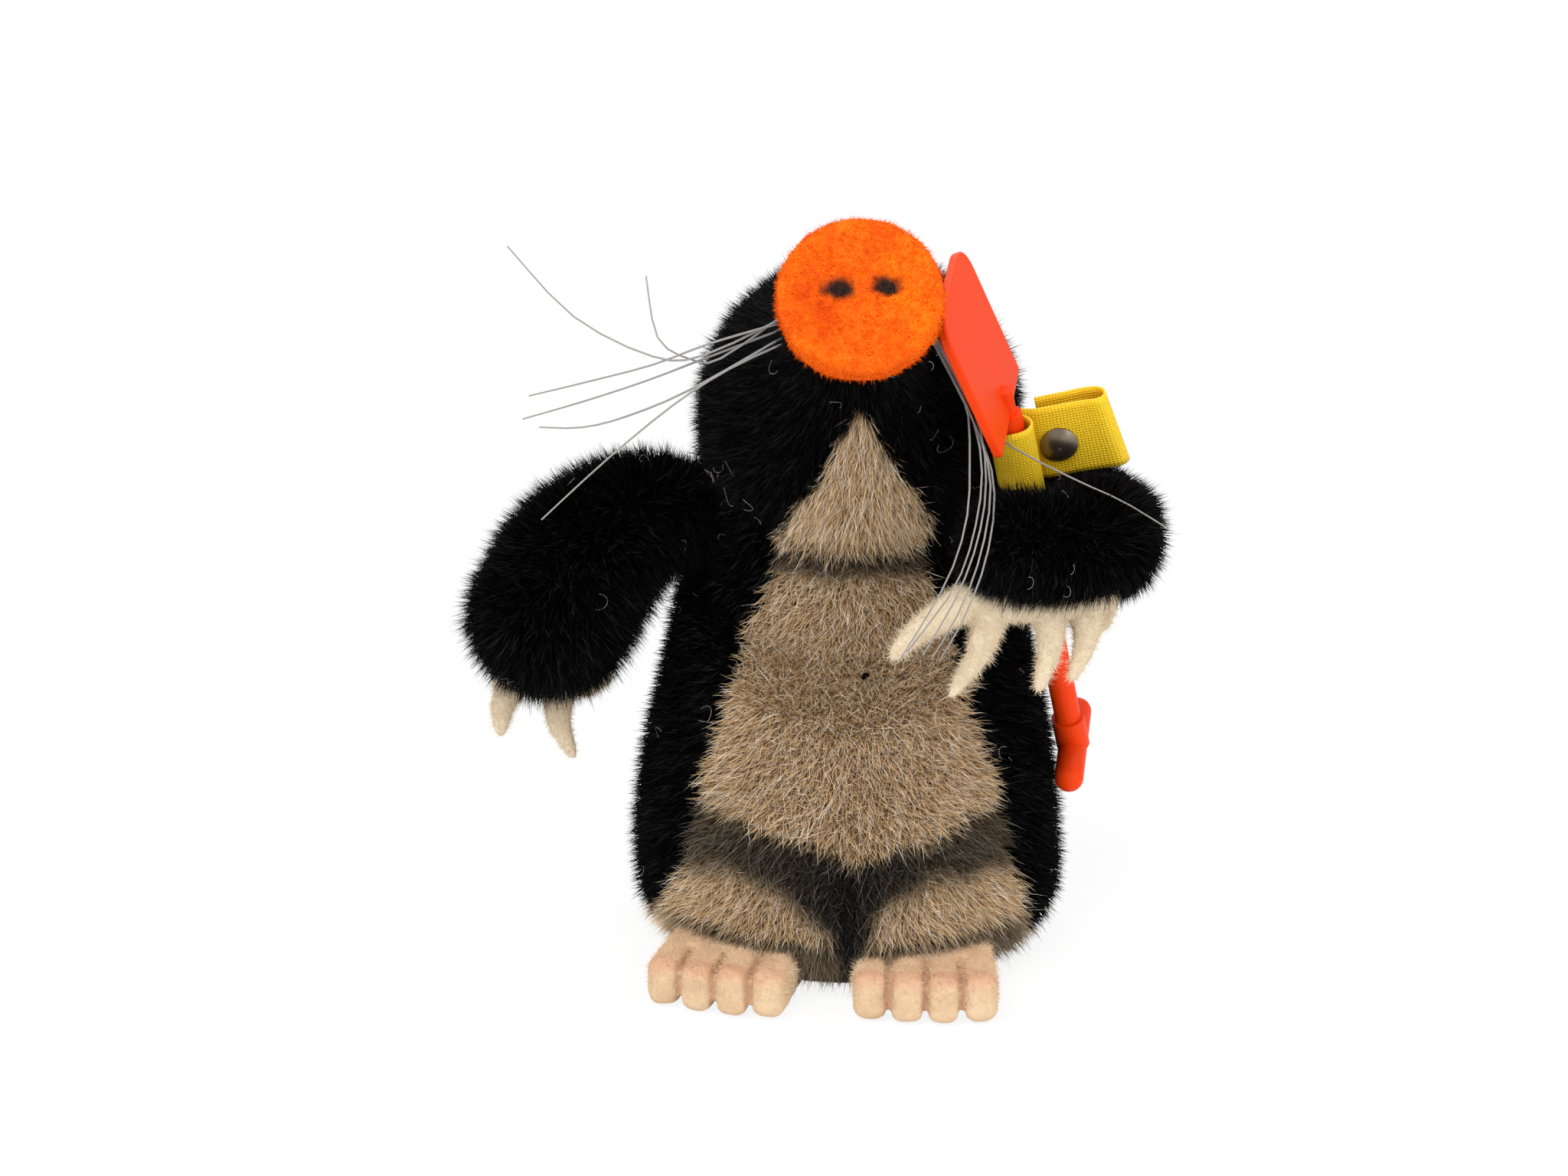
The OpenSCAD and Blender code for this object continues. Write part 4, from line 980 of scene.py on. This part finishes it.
finishes = {
    plain_material("bronzed steel", (0.16, 0.12, 0.085), (0.30, 0.25, 0.19), 0.32, 0.9, 700.0):
        ["tag_rivet", "rivet_washer"],
    plain_material("steel", (0.45, 0.45, 0.46), (0.6, 0.6, 0.6), 0.3, 1.0):
        ["neck_washer_lower", "neck_washer_upper", "neck_pin", "left_arm_wire", "right_arm_wire"],
    plain_material("black bead", (0.004, 0.004, 0.005), (0.008, 0.008, 0.01), 0.08, 0.0, 200.0, 0.6):
        ["left_eye", "right_eye"],
    plain_material("grey nylon", (0.20, 0.195, 0.185), (0.30, 0.29, 0.28), 0.4, 0.0, 200.0):
        ["left_whiskers", "right_whiskers"],
    woven_material("grey card", (0.38, 0.32, 0.24), (0.30, 0.25, 0.18)):
        ["base_board", "neck_disc_lower", "neck_disc_upper"],
    woven_material("wood wool", (0.62, 0.48, 0.26), (0.42, 0.31, 0.15), 350, 0.001):
        ["body_stuffing", "head_stuffing", "left_arm_stuffing", "right_arm_stuffing", "nose_filling",
         "left_foot_filling", "right_foot_filling"],
    tan_cloth: ["base_cover"],
    foot_felt: ["left_foot_sole", "right_foot_sole"],
    plastic: ["shovel_shaft", "shovel_grip"],
}
for material, names in finishes.items():
    for name in names:
        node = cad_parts[name]
        node.data.materials.clear()
        node.data.materials.append(material)

# ---- Stray fibres ----
# Short pale curls of lint and loose thread have caught in the black pile. Each
# curl is a thin thread bent into part of a ring that lies on top of the hairs.
lint = plain_material("pale lint", (0.24, 0.235, 0.225), (0.46, 0.44, 0.42), 0.7)
LINT_R, LINT_TURN = 0.026, 9
KNOT_C, KNOT_R, KNOT_TURN = np.array([2.2, -22.6, 42.8]), 0.42, 60
chance = np.random.default_rng(17)
for body, piece, count in (("body", "back_cover", 60), ("head", "head_cover", 60),
                           ("left_arm", "left_arm_cover", 30), ("right_arm", "right_arm_cover", 40)):
    cover = bpy.data.objects[piece]
    at, outward = places_of(cover), normals_of(cover)
    outside = np.nonzero(np.einsum("ij,ij->i", outward, at - at.mean(0)) > 0)[0]
    grids = []
    for pick in chance.choice(outside, count, replace=False):
        normal = unit(outward[pick])
        side = unit(np.cross(normal, chance.normal(size=3)))
        other = np.cross(normal, side)
        size, arc = chance.uniform(0.4, 1.3), chance.uniform(1.6, 4.6)
        wind = chance.uniform(0, 6.28)
        bend = wind + np.linspace(0, arc, LINT_TURN)
        spiral = size * np.linspace(1, chance.uniform(0.5, 1.3), LINT_TURN)
        line = (at[pick] + normal * chance.uniform(1.7, 2.3) + side * (spiral * np.cos(bend))[:, None]
                + other * (spiral * np.sin(bend))[:, None])
        line = line + normal * (0.25 * np.sin(bend * 1.7))[:, None]
        line[:, 2] = np.maximum(line[:, 2], GROUND)
        grids.append(tube_grid(line, np.full(LINT_TURN, LINT_R), 3))
    curls = mesh_object(f"{body}_lint", *gathered(grids), [lint])
    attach(curls, body)

# One dark thread has rolled into a knot in the pile of the belly.
turns = np.linspace(0, 17, KNOT_TURN)
knot = np.column_stack([KNOT_R * np.cos(turns), 0.16 * np.sin(turns * 0.7), KNOT_R * np.sin(turns)])
knot = knot * (0.55 + 0.45 * np.cos(turns * 0.37))[:, None] + KNOT_C
knot = mesh_object("belly_knot", *capped(tube_grid(knot, np.full(KNOT_TURN, 0.14), 6)), [black_cloth])
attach(knot, "body")

# ---- Floor and light ----
# A pale floor and a white backdrop, a large soft light from above and in front,
# a weaker one from the right and one from behind.
ground = bpy.data.meshes.new("floor")
ground.from_pydata([(-3, -3, 0), (3, -3, 0), (3, 3, 0), (-3, 3, 0)], [], [(0, 1, 2, 3)])
floor = bpy.data.objects.new("floor", ground)
scene.collection.objects.link(floor)
floor.location.z = -0.0002
pale, tree, shader = new_material("pale floor", 1.0, 0.5)
shader.inputs["Base Color"].default_value = (0.92, 0.92, 0.92, 1)
rays = add(tree, "ShaderNodeLightPath").outputs
seen = add(tree, "ShaderNodeMath", {0: rays["Is Camera Ray"], 1: rays["Is Glossy Ray"]},
           operation="MAXIMUM")
seen = add(tree, "ShaderNodeMath", {0: out(seen), 1: rays["Is Transmission Ray"]},
           operation="MAXIMUM")
far = add(tree, "ShaderNodeVectorMath", {0: add(tree, "ShaderNodeTexCoord").outputs["Object"]},
          operation="LENGTH").outputs["Value"]
paper = add(tree, "ShaderNodeMapRange", {0: far, 1: 0.08, 2: 0.3, 3: 0.88, 4: 1.0})
seen = add(tree, "ShaderNodeMath", {0: out(seen), 1: out(paper)}, operation="MULTIPLY")
white = add(tree, "ShaderNodeEmission", {"Color": (1, 1, 1, 1), "Strength": 1.0})
mixed = add(tree, "ShaderNodeMixShader",
            {0: out(seen), 1: shader.outputs[0], 2: out(white)})
tree.links.new(out(mixed), tree.nodes["Material Output"].inputs["Surface"])
ground.materials.append(pale)

world = bpy.data.worlds.new("room")
scene.world = world
world.use_nodes = True
tree = world.node_tree
rays = add(tree, "ShaderNodeLightPath").outputs
seen = add(tree, "ShaderNodeMath", {0: rays["Is Camera Ray"], 1: rays["Is Transmission Ray"]},
           operation="MAXIMUM")
light = add(tree, "ShaderNodeBackground", {"Color": (1, 1, 1, 1), "Strength": 0.55})
white = add(tree, "ShaderNodeBackground", {"Color": (1, 1, 1, 1), "Strength": 1.0})
mixed = add(tree, "ShaderNodeMixShader", {0: out(seen), 1: out(light), 2: out(white)})
tree.links.new(out(mixed), tree.nodes["World Output"].inputs["Surface"])
scene.view_settings.view_transform = "Standard"


def lamp(name, place, aim, size, power):
    made = bpy.data.objects.new(name, bpy.data.lights.new(name, "AREA"))
    scene.collection.objects.link(made)
    made.data.size = size
    made.data.energy = power
    made.location = place
    made.rotation_euler = (Vector(aim) - Vector(place)).to_track_quat("-Z", "Y").to_euler()


lamp("key light", (-0.25, -0.45, 0.6), (0, 0, 0.05), 0.5, 5.0)
lamp("fill light", (0.5, -0.35, 0.35), (0, 0, 0.05), 0.6, 2.2)
lamp("back light", (0.1, 0.6, 0.6), (0, 0, 0.06), 0.6, 3.0)
